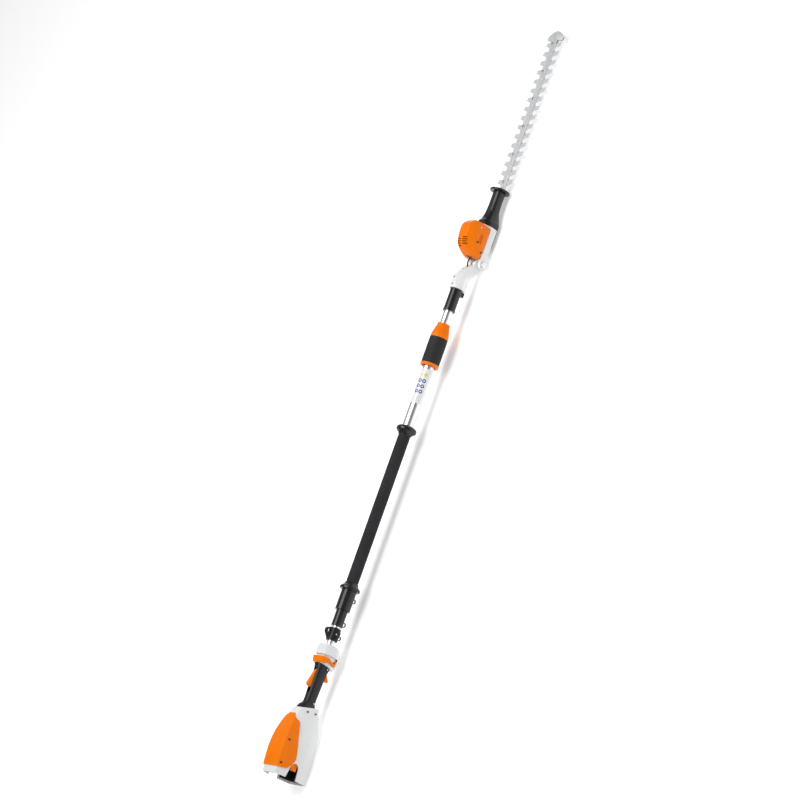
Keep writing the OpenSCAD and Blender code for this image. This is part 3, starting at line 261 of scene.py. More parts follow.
def finish(name, base, rough, drift=0.9, grain=900.0, depth=0.00004, wear=0.25, rub=0.6, rub_tone=1.35,
           lines=None, line_depth=0.00003, line_tone=0.85, cells=None, strength=0.5, **shader):
    """A finish: drift, wear and rubbed edges in its colour, and grain, lines or cells as relief."""
    m = bpy.data.materials.new(name)
    m.use_nodes = True
    t = m.node_tree
    t.nodes.clear()
    out = node(t, "ShaderNodeOutputMaterial", (6, 0))
    p = node(t, "ShaderNodeBsdfPrincipled", (4, 0))
    t.links.new(p.outputs[0], out.inputs[0])
    for key, value in shader.items():
        p.inputs[key.replace("_", " ")].default_value = value
    at = node(t, "ShaderNodeTexCoord", (-6, 0)).outputs["Object"]
    edge = node(t, "ShaderNodeAttribute", (-6, 3), {"attribute_name": "edge_rub"}).outputs["Fac"]
    d = use(t, "Tone drift", (-4, 0), Vector=at)
    w = use(t, "Handling wear", (-4, 1), Vector=at, Amount=wear)
    e = use(t, "Edge rub", (-4, 2), Vector=at, Edge=edge, Amount=rub)
    c = mix(t, (-2, 0), d.outputs[0], base, shade(base, drift))
    c = mix(t, (-1, 0), w.outputs[0], c, shade(base, 0.5 * (drift + 1.1)))
    c = mix(t, (0, 0), e.outputs[0], c, shade(base, rub_tone))
    height = None
    if lines:
        g = use(t, "Drawn lines", (-4, 4), Vector=at, Stretch=lines)
        c = mix(t, (1, 0), g.outputs[0], c, shade(base, line_tone))
        height = g.outputs[0]
        distance = line_depth
    if cells:
        g = use(t, "Foam cells", (-4, 4), Vector=at, Scale=cells)
        c = mix(t, (1, 0), g.outputs["Shade"], c, shade(base, 1.7))
        height = g.outputs["Height"]
        distance = depth
    if height is None:
        height = use(t, "Moulded grain", (-4, 4), Vector=at, Scale=grain).outputs[0]
        distance = depth
    t.links.new(c, p.inputs["Base Color"])
    low = node(t, "ShaderNodeMapRange", (-1, 2), Value=d.outputs[0], To_Min=rough - 0.03, To_Max=rough + 0.04)
    r = node(t, "ShaderNodeMath", (1, 2), {"operation": "MULTIPLY_ADD", "use_clamp": True}, i0=w.outputs[0],
        i1=0.35, i2=low.outputs[0])
    t.links.new(r.outputs[0], p.inputs["Roughness"])
    b = node(t, "ShaderNodeBump", (2, 3), Strength=strength, Distance=distance, Height=height)
    t.links.new(b.outputs[0], p.inputs["Normal"])
    return m


class TRIMMER_OT_finishes(bpy.types.Operator):
    """Build every finish of the trimmer"""
    bl_idname = "trimmer.finishes"
    bl_label = "Finishes"

    def execute(self, context):
        k = {n: tuple(getattr(colours(), n)) for n in TrimmerColours.__annotations__}
        build_groups()
        finish("orange shell", k["orange"], 0.34, drift=0.93, Specular_IOR_Level=0.14, rub_tone=1.12)
        finish("white shell", k["white"], 0.36, drift=0.965, Specular_IOR_Level=0.4, rub_tone=1.1)
        finish("cast paint", k["cast"], 0.42, drift=0.965, grain=500.0, depth=0.00008, rub_tone=1.1)
        finish("black plastic", k["black"], 0.38, drift=0.8, rub_tone=3.0, wear=0.35, Specular_IOR_Level=0.3)
        finish("glossy black", k["black"], 0.22, drift=0.8, rub_tone=3.0, depth=0.00002,
            Specular_IOR_Level=0.4)
        finish("foam", k["foam"], 0.82, drift=0.8, cells=900.0, depth=0.00025, strength=0.9,
            Specular_IOR_Level=0.2)
        finish("rubber", k["rubber"], 0.62, drift=0.8, grain=1400.0, depth=0.00006, rub_tone=1.8,
            Specular_IOR_Level=0.3)
        finish("cable", k["rubber"], 0.45, drift=0.8, grain=1400.0, depth=0.00003)
        finish("aluminium tube", k["aluminium"], 0.30, drift=0.95, lines=(3.0, 700.0, 700.0), line_tone=0.82,
            Metallic=1.0)
        finish("steel", k["steel"], 0.26, drift=0.9, grain=1500.0, depth=0.00001, Metallic=1.0)
        finish("dark steel", k["dark_steel"], 0.34, drift=0.8, Metallic=0.9, rub_tone=3.0)
        finish("blade steel", k["blade"], 0.34, drift=0.94, lines=(260.0, 12.0, 260.0), line_tone=0.88,
            line_depth=0.00001, Metallic=0.4)
        finish("ground edge", shade(k["blade"], 1.1), 0.20, drift=0.97, lines=(900.0, 30.0, 30.0),
            line_tone=0.9, line_depth=0.00001, Metallic=0.5)
        finish("copper", k["copper"], 0.3, lines=(60.0, 60.0, 1800.0), line_tone=0.6, line_depth=0.0001,
            Metallic=1.0)
        finish("laminations", shade(k["steel"], 0.6), 0.45, lines=(2.0, 2.0, 1400.0), line_tone=0.5,
            line_depth=0.0001, Metallic=0.9)
        finish("contacts", k["brass"], 0.25, lines=(8.0, 900.0, 40.0), line_depth=0.00001, Metallic=1.0)
        finish("board", k["board"], 0.35, lines=(380.0, 380.0, 8.0), line_tone=1.8, Coat_Weight=0.4)
        self.label(k)
        return {"FINISHED"}

    def label(self, k):
        """A printed film: pale ground with plain discs and bars."""
        m = finish("label film", (0.80, 0.81, 0.82), 0.35, drift=0.97, wear=0.3, Coat_Weight=0.3)
        t = m.node_tree
        p = next(n for n in t.nodes if n.type == "BSDF_PRINCIPLED")
        c = p.inputs["Base Color"].links[0].from_socket
        uv = node(t, "ShaderNodeAttribute", (-6, 6), {"attribute_name": "print_at"}).outputs["Vector"]
        soft = 0.0003  # width of a printed mark's soft edge

        def disc(along, across, outer, inner=0.0):
            """A mask of a round mark, a ring if it has an inner radius. Lengths are metres on the film."""
            d = node(t, "ShaderNodeVectorMath", (-4, 6), {"operation": "DISTANCE"}, i0=uv,
                i1=(along, across, 0)).outputs["Value"]
            mask = node(t, "ShaderNodeMapRange", (-3, 6), Value=d, From_Min=outer,
                From_Max=outer - soft).outputs[0]
            if inner:
                hole = node(t, "ShaderNodeMapRange", (-3, 7), Value=d, From_Min=inner,
                    From_Max=inner + soft).outputs[0]
                mask = node(t, "ShaderNodeMath", (-2, 6), {"operation": "MULTIPLY"}, i0=mask,
                    i1=hole).outputs[0]
            return mask

        def together(masks):
            """One mask of several."""
            out = masks[0]
            for m in masks[1:]:
                out = node(t, "ShaderNodeMath", (0, 6), {"operation": "MAXIMUM"}, i0=out, i1=m).outputs[0]
            return out

        row, upper = 0.0375, 0.0235  # the two rows of marks, round the film
        blue = together([disc(x, y, 0.0064, 0.0027) for y in (row, upper) for x in (0.040, 0.058, 0.076)])
        yellow = together([disc(0.097, row, 0.0060), disc(0.097, upper, 0.0040)])
        dots = [(0.008 + 0.0036 * j, row + dy) for j in range(5) for dy in (-0.003, 0.003)]
        grey = together([disc(x, y, 0.0010) for x, y in dots])
        c = mix(t, (1, 6), grey, c, (0.45, 0.42, 0.36))
        c = mix(t, (2, 6), blue, c, k["label_blue"])
        c = mix(t, (3, 6), yellow, c, k["label_yellow"])
        t.links.new(c, p.inputs["Base Color"])


# ---------------------------------------------------------------- modelling helpers


def clear():
    """Object mode with nothing selected."""
    if bpy.context.object and bpy.context.object.mode != "OBJECT":
        bpy.ops.object.mode_set(mode="OBJECT")
    bpy.ops.object.select_all(action="DESELECT")


def take(ob):
    """Select one object and make it the active one."""
    clear()
    ob.select_set(True)
    bpy.context.view_layer.objects.active = ob
    return ob


def edit(ob, mode="EDGE"):
    """Edit mode with nothing selected, in vertex, edge or face selection."""
    take(ob)
    bpy.ops.object.mode_set(mode="EDIT")
    bpy.ops.mesh.select_mode(type=mode)
    bpy.ops.mesh.select_all(action="DESELECT")
    return bmesh.from_edit_mesh(ob.data)


def done(ob):
    bpy.ops.object.mode_set(mode="OBJECT")
    return ob


def paint(ob, material):
    ob.data.materials.clear()
    ob.data.materials.append(bpy.data.materials[material])
    return ob


def modify(ob, kind, **settings):
    """Add a modifier with its settings and apply it."""
    take(ob)
    m = ob.modifiers.new(kind.lower(), kind)
    for key, value in settings.items():
        setattr(m, key, value)
    bpy.ops.object.modifier_apply(modifier=m.name)
    return ob


def smooth(ob, angle):
    """Shade smoothly, except over edges sharper than the angle."""
    take(ob)
    bpy.ops.object.shade_smooth_by_angle(angle=math.radians(angle))
    return ob


def outward(ob):
    """Merge doubles and turn every face outwards."""
    edit(ob, "VERT")
    bpy.ops.mesh.select_all(action="SELECT")
    bpy.ops.mesh.remove_doubles(threshold=1e-6)
    bpy.ops.mesh.normals_make_consistent(inside=False)
    return done(ob)


def settle(ob):
    """Apply the object's place, turn and scale to its mesh."""
    take(ob)
    bpy.ops.object.transform_apply(location=True, rotation=True, scale=True)
    return ob


def placed(name, data):
    """A new object of its data, in the scene."""
    ob = bpy.data.objects.new(name, data)
    bpy.context.scene.collection.objects.link(ob)
    return ob


def joined(pieces, name):
    """One object of several, with its name."""
    take(pieces[0])
    for ob in pieces[1:]:
        ob.select_set(True)
    if len(pieces) > 1:
        bpy.ops.object.join()
    ob = bpy.context.object
    ob.name = name
    return ob


def merged_copy(n, name):
    """A copy of a CAD node's mesh, clean and with its flat faces joined up."""
    ob = take(placed(name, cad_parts[n].data.copy()))
    ob.data.materials.clear()
    bpy.ops.mesh.customdata_custom_splitnormals_clear()
    for p in ob.data.polygons:
        p.use_smooth = False
        p.material_index = 0
    edit(ob, "VERT")
    bpy.ops.mesh.select_all(action="SELECT")
    bpy.ops.mesh.remove_doubles(threshold=2e-6)
    bpy.ops.mesh.dissolve_limited(angle_limit=math.radians(0.4), use_dissolve_boundaries=False)
    return done(ob)


def rounded(ob, width, angle=40, segments=2):
    """Round the sharp edges, and mark the rounded faces so that a finish can rub them."""
    if width > 0:
        for _ in range(2):
            ob.data.materials.append(None)
        modify(ob, "BEVEL", width=width, segments=segments, limit_method="ANGLE",
            angle_limit=math.radians(angle), use_clamp_overlap=True, material=1, miter_outer="MITER_ARC")
    mark = ob.data.attributes.new("edge_rub", "FLOAT", "CORNER")
    for p in ob.data.polygons:
        for k in p.loop_indices:
            mark.data[k].value = float(p.material_index == 1)
        p.material_index = 0
    ob.data.materials.clear()
    return ob


def tube(name, points, radius, sides):
    """A round solid along points, with a radius at each, made from a curve."""
    clear()
    cu = bpy.data.curves.new(name, "CURVE")
    cu.dimensions = "3D"
    cu.bevel_depth = 1.0
    cu.bevel_resolution = sides // 4
    cu.use_fill_caps = True
    s = cu.splines.new("POLY")
    s.points.add(len(points) - 1)
    for k, p in enumerate(points):
        s.points[k].co = (*p, 1)
        s.points[k].radius = radius[k] if hasattr(radius, "__len__") else radius
    take(placed(name, cu))
    bpy.ops.object.convert(target="MESH")
    return outward(bpy.context.object)


def spun(name, profile, steps, shift):
    """A closed profile of (x, radius) points turned once round the X axis, then shifted."""
    clear()
    me = bpy.data.meshes.new(name)
    n = len(profile)
    me.from_pydata([(x, 0, r) for x, r in profile], [(i, (i + 1) % n) for i in range(n)], [])
    ob = placed(name, me)
    edit(ob, "VERT")
    bpy.ops.mesh.select_all(action="SELECT")
    bpy.ops.mesh.spin(steps=steps, angle=2 * math.pi, center=(0, 0, 0), axis=(1, 0, 0))
    done(ob)
    outward(ob)
    ob.data.transform(Matrix.Translation(shift))
    return ob


def islands(name):
    """Lowest and highest corners of each separate solid of a CAD node."""
    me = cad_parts[name].data
    key = {}
    ids = [key.setdefault(tuple(round(c, 6) for c in v.co), len(key)) for v in me.vertices]
    up = list(range(len(key)))

    def top(i):
        while up[i] != i:
            up[i] = up[up[i]]
            i = up[i]
        return i

    for p in me.polygons:
        a = top(ids[p.vertices[0]])
        for v in p.vertices[1:]:
            up[top(ids[v])] = a
    found = {}
    for v in me.vertices:
        found.setdefault(top(ids[v.index]), []).append(v.co)
    return [(Vector(map(min, *g)), Vector(map(max, *g))) for g in found.values()]


def wear_mark(ob):
    """An empty edge mark, for a piece that has no rounded faces."""
    if "edge_rub" not in ob.data.attributes:
        ob.data.attributes.new("edge_rub", "FLOAT", "CORNER")
    return ob


def ready(ob, body, material, slot, *nodes):
    """Give a finished piece its finish and its body, and hide the CAD nodes that it stands for. The slot
    argument is not used.
    """
    if material:
        paint(ob, material)
    wear_mark(ob)
    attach(ob, body)
    if nodes:
        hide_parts(*nodes)
    return ob


# ---------------------------------------------------------------- pieces that stay as built


KEPT = {
    "aluminium tube": ["rear_tube", "outer_tube", "inner_tube"],
    "black plastic": ["battery_guide", "contact_block", "trigger_switch", "lock_collar", "guide_bush"],
    "white shell": ["collet"],
    "cable": ["spiral_cable"],
    "steel": ["gearbox_lid", "motor_rotor", "motor_bearings", "crank_gear", "crank_axle"],
    "laminations": ["motor_stator"],
    "contacts": ["contact_blades"],
    "board": ["power_board", "control_board"],
    "rubber": ["rubber_feet"],
}


class TRIMMER_OT_frame(bpy.types.Operator):
    """Give the CAD pieces that stay as they are their finishes"""
    bl_idname = "trimmer.frame"
    bl_label = "Tubes and inner pieces"

    def execute(self, context):
        for material, nodes in KEPT.items():
            for n in nodes:
                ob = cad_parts[n]
                for s in ob.material_slots:
                    s.link = "OBJECT"
                    s.material = bpy.data.materials[material]
        return {"FINISHED"}


# node, piece, body, finish, slot, edge width as a share of the usual one, smallest edge angle that is rounded
MOULDED = [
    ("housing_right", "housing_shell_right", "pole_and_handle", "white shell", "shell_white", 1.0, 42),
    ("housing_left", "housing_shell_left", "pole_and_handle", "white shell", "shell_white", 1.0, 42),
    ("top_cover", "housing_cover", "pole_and_handle", "orange shell", "shell_orange", 1.0, 42),
    ("handle_right", "handle_shell_right", "pole_and_handle", "black plastic", "plastic_black", 1.0, 42),
    ("handle_left", "handle_shell_left", "pole_and_handle", "black plastic", "plastic_black", 1.0, 42),
    ("control_right", "control_shell_right", "pole_and_handle", "white shell", "shell_white", 1.0, 42),
    ("control_left", "control_shell_left", "pole_and_handle", "white shell", "shell_white", 1.0, 42),
    ("unlock_slide", "unlock_slider", "unlock_slide", "orange shell", "shell_orange", 0.7, 42),
    ("latch_right", "latch_button_right", "latch_right", "orange shell", "shell_orange", 0.8, 30),
    ("latch_left", "latch_button_left", "latch_left", "orange shell", "shell_orange", 0.8, 30),
    ("trigger", "trigger_lever", "trigger", "orange shell", "shell_orange", 1.6, 30),
    ("lockout_lever", "lockout_paddle", "lockout_lever", "orange shell", "shell_orange", 1.6, 30),
    ("reducer_sleeve", "reducer", "pole_and_handle", "glossy black", "plastic_black", 1.0, 30),
    ("cable_guides", "cable_hooks", "pole_and_handle", "black plastic", "plastic_black", 0.6, 35),
    ("rear_hand_guard", "rear_guard_disc", "pole_and_handle", "glossy black", "plastic_black", 1.0, 30),
    ("front_hand_guard", "front_guard_disc", "pole_and_handle", "glossy black", "plastic_black", 1.0, 30),
    ("carry_clamp_top", "strap_clamp_top", "carry_clamp", "black plastic", "plastic_black", 1.0, 32),
    ("carry_clamp_base", "strap_clamp_base", "carry_clamp", "black plastic", "plastic_black", 1.0, 32),
    ("twist_sleeve", "twist_body", "twist_lock", "orange shell", "shell_orange", 0.8, 28),
    ("slide_sleeve", "lock_sleeve_body", "lock_sleeve", "glossy black", "plastic_black", 1.0, 30),
    ("joint_base", "joint_casting", "inner_pole", "cast paint", "cast_white", 1.0, 40),
    ("gear_housing", "gear_case", "cutting_head", "cast paint", "cast_white", 1.2, 36),
    ("base_plate", "sole_plate", "cutting_head", "black plastic", "plastic_black", 0.6, 36),
    ("motor_cover", "motor_hood", "cutting_head", "orange shell", "shell_orange", 0.5, 42),
    ("blade_guard", "blade_neck", "cutting_head", "glossy black", "plastic_black", 1.0, 42),
    ("detent_plate", "notched_disc", "cutting_head", "steel", "screw_steel", 0.5, 35),
]


class TRIMMER_OT_mouldings(bpy.types.Operator):
    """Round the edges of the shells, levers, guards and castings"""
    bl_idname = "trimmer.mouldings"
    bl_label = "Shells, levers and castings"

    def execute(self, context):
        for n, piece, body, material, slot, share, angle in MOULDED:
            ob = merged_copy(n, piece)
            rounded(ob, sizes().edge_round * share, angle)
            smooth(ob, 34)
            modify(ob, "WEIGHTED_NORMAL", keep_sharp=True)
            ready(ob, body, material, slot, n)
        return {"FINISHED"}


class TRIMMER_OT_vents(bpy.types.Operator):
    """Set dark louvred plates behind the hood's vents, as painted shade for the inside of the hood"""
    bl_idname = "trimmer.vents"
    bl_label = "Vent screens"

    def screen(self, width, height, at, turn):
        """A dark louvred plate, painted shade for the inside of the hood, made facing -Y about the origin,
        then turned and moved to its place.
        """
        clear()
        bpy.ops.mesh.primitive_cube_add(size=1)
        ob = bpy.context.object
        ob.scale = (width, SHADE_PLATE_DEPTH, height)
        settle(ob)
        bm = edit(ob, "FACE")
        for f in bm.faces:
            f.select_set(f.normal.y < -0.9)
        bpy.ops.mesh.inset(thickness=0.0012)
        bpy.ops.mesh.subdivide(number_cuts=LOUVRE_ROWS - 1)
        bm = bmesh.from_edit_mesh(ob.data)
        bpy.ops.mesh.select_all(action="DESELECT")
        bpy.ops.mesh.select_mode(type="FACE")
        for f in bm.faces:
            c = f.calc_center_median()
            row = int((c.z / height + 0.5) * LOUVRE_ROWS)
            f.select_set(f.normal.y < -0.9 and row % 2 == 1 and abs(c.x) < width / 2 - 0.002)
        bmesh.update_edit_mesh(ob.data)
        bpy.ops.mesh.extrude_region_move(TRANSFORM_OT_translate={"value": (0, -0.0006, 0)})
        done(ob)
        ob.data.transform(Matrix.Translation(at) @ turn.to_4x4())
        return ob

    def execute(self, context):
        lo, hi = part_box("motor_cover")
        side = (hi.y - lo.y) / 2 - 0.0042  # just inside the hood's wall
        x, z = lo.x + 0.059, lo.z + 0.025
        made = []
        for width, height, at, turn in (
                (0.038, 0.018, (x, -side, z), Matrix.Identity(3)),
                (0.038, 0.018, (x, side, z), Matrix.Rotation(math.pi, 3, "Z")),
                (0.028, 0.034, (lo.x + 0.036, 0, hi.z - 0.0230), Matrix.Rotation(-math.pi / 2, 3, "X"))):
            made.append(self.screen(width, height, Vector(at), turn))
        ob = joined(made, "hood_vent_screens")
        rounded(ob, 0.0001, 40, 1)
        smooth(ob, 30)
        # the black plates behind the vents are painted shade for the inside of the hood
        ready(ob, "cutting_head", "black plastic", "plastic_black")
        return {"FINISHED"}


# ---------------------------------------------------------------- screws and bolts


def screw_head(radius, depth):
    """A pan head screw under the XY plane, its top at zero and its star recess open upwards."""
    clear()
    bpy.ops.mesh.primitive_cylinder_add(vertices=36, radius=radius, depth=depth, location=(0, 0, -depth / 2))
    ob = settle(bpy.context.object)
    bm = edit(ob, "FACE")
    for f in bm.faces:
        f.select_set(f.normal.z > 0.9)
    bpy.ops.mesh.inset(thickness=radius * 0.42)
    bm = bmesh.from_edit_mesh(ob.data)
    for v in bm.verts:
        if v.select:
            a = math.atan2(v.co.y, v.co.x)
            k = 1 - 0.16 * (1 - math.cos(STAR_LOBES * a))
            v.co.x, v.co.y = v.co.x * k, v.co.y * k
    bmesh.update_edit_mesh(ob.data)
    recess = min(depth * 0.6, radius * 0.5)
    bpy.ops.mesh.extrude_region_move(TRANSFORM_OT_translate={"value": (0, 0, -recess)})
    bpy.ops.mesh.select_all(action="DESELECT")
    bm = bmesh.from_edit_mesh(ob.data)
    bpy.ops.mesh.select_mode(type="EDGE")
    for e in bm.edges:
        e.select_set(all(abs(v.co.z) < 1e-7 and abs(v.co.xy.length - radius) < radius * 0.02
            for v in e.verts))
    bmesh.update_edit_mesh(ob.data)
    bpy.ops.mesh.bevel(offset=min(radius * 0.18, depth * 0.3), segments=3, affect="EDGES")
    done(ob)
    return smooth(ob, 40)


def set_screws(name, nodes, axis, body, material, slot, picked=None):
    """Put a screw head at each picked solid of the nodes, its top where the solid ends.

    The axis gives the side that the top faces: + or - along it, or ~ for away from the middle.
    """
    parts = []
    made = {}
    for n in nodes:
        for lo, hi in islands(n):
            mid = (lo + hi) / 2
            if picked and not picked(mid):
                continue
            k = "XYZ".index(axis[-1])
            side = -1 if axis[0] == "-" else 1
            if axis[0] == "~":
                side = 1 if mid[k] > 0 else -1
            radius = (hi - lo)[(k + 1) % 3] / 2
            depth = (hi - lo)[k]
            key = (round(radius, 5), round(depth, 5))
            if key not in made:
                made[key] = screw_head(radius, depth)
            ob = made[key].copy()
            ob.data = made[key].data.copy()
            bpy.context.scene.collection.objects.link(ob)
            out = Vector([side * (j == k) for j in range(3)])
            at = mid.copy()
            at[k] = hi[k] if side > 0 else lo[k]
            ob.data.transform(Matrix.Translation(at) @ out.to_track_quat("Z", "Y").to_matrix().to_4x4())
            parts.append(ob)
    for ob in made.values():
        bpy.data.objects.remove(ob)
    return ready(joined(parts, name), body, material, slot, *nodes)


class TRIMMER_OT_screws(bpy.types.Operator):
    """Model the screws and bolts with their heads and recesses"""
    bl_idname = "trimmer.screws"
    bl_label = "Screws and bolts"

    def execute(self, context):
        set_screws("housing_screw_heads", ["housing_screws"], "~Y", "pole_and_handle", "dark steel",
            "screw_dark")
        set_screws("handle_screw_heads", ["handle_screws"], "~Y", "pole_and_handle", "steel", "screw_steel")
        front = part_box("head_screws")[1].x - 0.01  # only the front pair is ahead of this
        set_screws("hood_screw_heads", ["head_screws"], "~Y", "cutting_head", "dark steel", "screw_dark",
            picked=lambda c: c.x < front)
        set_screws("hood_front_screw_heads", ["head_screws"], "~Y", "cutting_head", "steel", "screw_steel",
            picked=lambda c: c.x >= front)
        set_screws("joint_screw_heads", ["joint_screws"], "+Z", "inner_pole", "steel", "screw_steel")
        for n, piece, body, width in (("carry_clamp_screws", "strap_clamp_screws", "carry_clamp", 0.0003),
                                      ("pivot_bolt", "pivot_bolt_heads", "cutting_head", 0.0012),
                                      ("blade_bolts", "blade_bolt_heads", "cutting_head", 0.0004)):
            ob = rounded(merged_copy(n, piece), width, 35)
            smooth(ob, 34)
            ready(ob, body, "steel", "screw_steel", n)
        return {"FINISHED"}


# ---------------------------------------------------------------- grips


class TRIMMER_OT_long_grip(bpy.types.Operator):
    """Model the foam sleeve of the long grip"""
    bl_idname = "trimmer.long_grip"
    bl_label = "Foam grip"

    def execute(self, context):
        lo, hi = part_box("grip_hose")
        mid = (lo + hi) / 2
        outer, under = (hi.z - lo.z) / 2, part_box("outer_tube")
        bore = (under[1].z - under[0].z) / 2 + 0.0002
        n = 120
        top = []
        for i in range(n + 1):
            x = lo.x + 0.0006 + (hi.x - lo.x - 0.0012) * i / n
            sag = 0.00012 * math.sin(x * 61) + 0.00008 * math.sin(x * 173 + 1)
            end = min(1, min(i, n - i) / 2.5)
            top.append((x, outer - 0.0003 - abs(sag) - 0.0009 * (1 - end) ** 2))
        profile = top + [(hi.x - 0.0003, bore + 0.0003), (hi.x - 0.0006, bore), (lo.x + 0.0006, bore),
            (lo.x + 0.0003, bore + 0.0003)]
        ob = spun("foam_sleeve", profile, 72, (0, mid.y, mid.z))
        smooth(ob, 50)
        ready(ob, "pole_and_handle", "foam", "foam_black", "grip_hose")
        return {"FINISHED"}


class TRIMMER_OT_twist_grip(bpy.types.Operator):
    """Model the fluted rubber sleeve of the twist lock"""
    bl_idname = "trimmer.twist_grip"
    bl_label = "Twist grip"

    def execute(self, context):
        lo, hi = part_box("twist_grip")
        mid = (lo + hi) / 2
        outer = (hi.z - lo.z) / 2
        length = hi.x - lo.x
        n = 40
        top = []
        for i in range(n + 1):
            u = i / n
            lip = 0.0007 * math.exp(-((min(u, 1 - u) * length / 0.003) ** 2))
            top.append((lo.x + length * u, outer - 0.0011 + lip))
        profile = top + [(hi.x, outer - 0.0027), (lo.x, outer - 0.0027)]
        ob = spun("twist_grip_rubber", profile, 240, (0, mid.y, mid.z))
        flutes = sizes().grip_flutes
        for v in ob.data.vertices:
            d = Vector((0, v.co.y - mid.y, v.co.z - mid.z))
            if d.length > outer - 0.0016:
                u = (v.co.x - lo.x) / length
                fade = max(0.0, min(1.0, min(u - 0.06, 0.94 - u) / 0.05))
                a = math.atan2(d.z, d.y)
                v.co += d.normalized() * 0.0007 * fade * max(0.0, math.cos(flutes * a))
        smooth(ob, 40)
        ready(ob, "twist_lock", "rubber", "rubber_black", "twist_grip")
        return {"FINISHED"}


# ---------------------------------------------------------------- label, lead and spring


class TRIMMER_OT_label(bpy.types.Operator):
    """Lay a thin printed film round part of the outer tube"""
    bl_idname = "trimmer.label"
    bl_label = "Tube label"

    def execute(self, context):
        lo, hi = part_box("outer_tube")
        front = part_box("twist_sleeve")[0].x
        mid = (lo + hi) / 2
        radius = (hi.z - lo.z) / 2 + LABEL_GAP
        x0, x1 = front - 0.130, front - 0.012
        a0, a1 = math.radians(30), math.radians(190)
        nx, na = 24, 36
        points, at = [], []
        for layer in (0.0, LABEL_FILM):
            for i in range(nx + 1):
                for j in range(na + 1):
                    u, v = i / nx, j / na
                    a = a0 + (a1 - a0) * v
                    points.append((x0 + (x1 - x0) * u, mid.y + math.cos(a) * (radius + layer),
                        mid.z + math.sin(a) * (radius + layer)))
                    at.append(((x1 - x0) * u, (a1 - a0) * radius * v, 0))
        w = na + 1
        size = (nx + 1) * w
        faces = []
        for i in range(nx):
            for j in range(na):
                q = (i * w + j, i * w + j + 1, (i + 1) * w + j + 1, (i + 1) * w + j)
                faces.append(tuple(size + k for k in q))
                faces.append(tuple(reversed(q)))
        rim = [i * w for i in range(nx + 1)] + [nx * w + j for j in range(1, w)]
        rim += [i * w + na for i in range(nx - 1, -1, -1)] + list(range(na - 1, 0, -1))
        for a, b in zip(rim, rim[1:] + rim[:1]):
            faces.append((a, b, b + size, a + size))
        me = bpy.data.meshes.new("tube_label")
        me.from_pydata(points, [], faces)
        mark = me.attributes.new("print_at", "FLOAT_VECTOR", "POINT")
        for k, p in enumerate(at):
            mark.data[k].vector = p
        ob = placed("tube_label", me)
        outward(ob)
        smooth(ob, 50)
        ready(ob, "pole_and_handle", "label film", "shell_white")
        return {"FINISHED"}


# the motor lead's line: X and Z from the tilting joint's pivot, in millimetres
LEAD = [(-24, 32), (-14, 37), (-6, 39), (2, 39), (9, 36), (16, 33), (24, 29)]


def curve_through(points, steps):
    """A smooth line through points, as a list of points."""
    out = []
    n = len(points)
    for i in range(n - 1):
        p0, p1, p2, p3 = points[max(i - 1, 0)], points[i], points[i + 1], points[min(i + 2, n - 1)]
        for k in range(steps):
            t = k / steps
            out.append(0.5 * ((2 * p1) + (p2 - p0) * t + (2 * p0 - 5 * p1 + 4 * p2 - p3) * t * t
                + (3 * p1 - p0 - 3 * p2 + p3) * t ** 3))
    return out + [points[-1]]


class TRIMMER_OT_lead(bpy.types.Operator):
    """Model the short motor lead and its ribbed sleeves, as a fixed curve over the tilting joint"""
    bl_idname = "trimmer.lead"
    bl_label = "Motor lead"

    def execute(self, context):
        origin = Vector(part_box("pivot_bolt")[0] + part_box("pivot_bolt")[1]) / 2
        line = curve_through([Vector((origin.x + x * MM, 0, origin.z + z * MM)) for x, z in LEAD], 14)
        r = sizes().cable_d / 2
        lengths = [0.0]
        for a, b in zip(line, line[1:]):
            lengths.append(lengths[-1] + (b - a).length)
        core = r - 0.0006
        radius = []
        for s in lengths:
            near = min(s, lengths[-1] - s)
            boot = max(0.0, 1 - near / BOOT_LENGTH)
            ring = 0.0004 if boot > 0 and math.sin(near * 2 * math.pi / BOOT_PITCH) > 0.1 else 0
            radius.append(min(r, core + 0.0004 * boot + ring) if boot > 0 else core)
        ob = tube("motor_lead", line, radius, 20)
        smooth(ob, 50)
        paint(wear_mark(ob), "cable")
        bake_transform(ob)
        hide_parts("motor_cable")
        return {"FINISHED"}


class TRIMMER_OT_spring(bpy.types.Operator):
    """Wind the coil spring under the sliding sleeve"""
    bl_idname = "trimmer.spring"
    bl_label = "Sleeve spring"

    def execute(self, context):
        lo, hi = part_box("slide_spring")
        mid = (lo + hi) / 2
        wire = sizes().spring_wire
        r = (hi.z - lo.z) / 2 - wire / 2
        turns = sizes().spring_turns
        n = 28 * (turns + 2)
        points = []
        for i in range(n + 1):
            u = i / n * (turns + 2)
            along = max(0.0, min(1.0, (u - 1) / turns))
            ends = wire * (min(u, 1.0) + max(0.0, u - turns - 1))
            x = lo.x + wire / 2 + ends + (hi.x - lo.x - 3 * wire) * along
            a = 2 * math.pi * u
            points.append((x, mid.y + r * math.cos(a), mid.z + r * math.sin(a)))
        ob = tube("sleeve_spring", points, wire / 2, 8)
        smooth(ob, 60)
        ready(ob, "inner_pole", "steel", "screw_steel", "slide_spring")
        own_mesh(ob)
        return {"FINISHED"}


# ---------------------------------------------------------------- blades


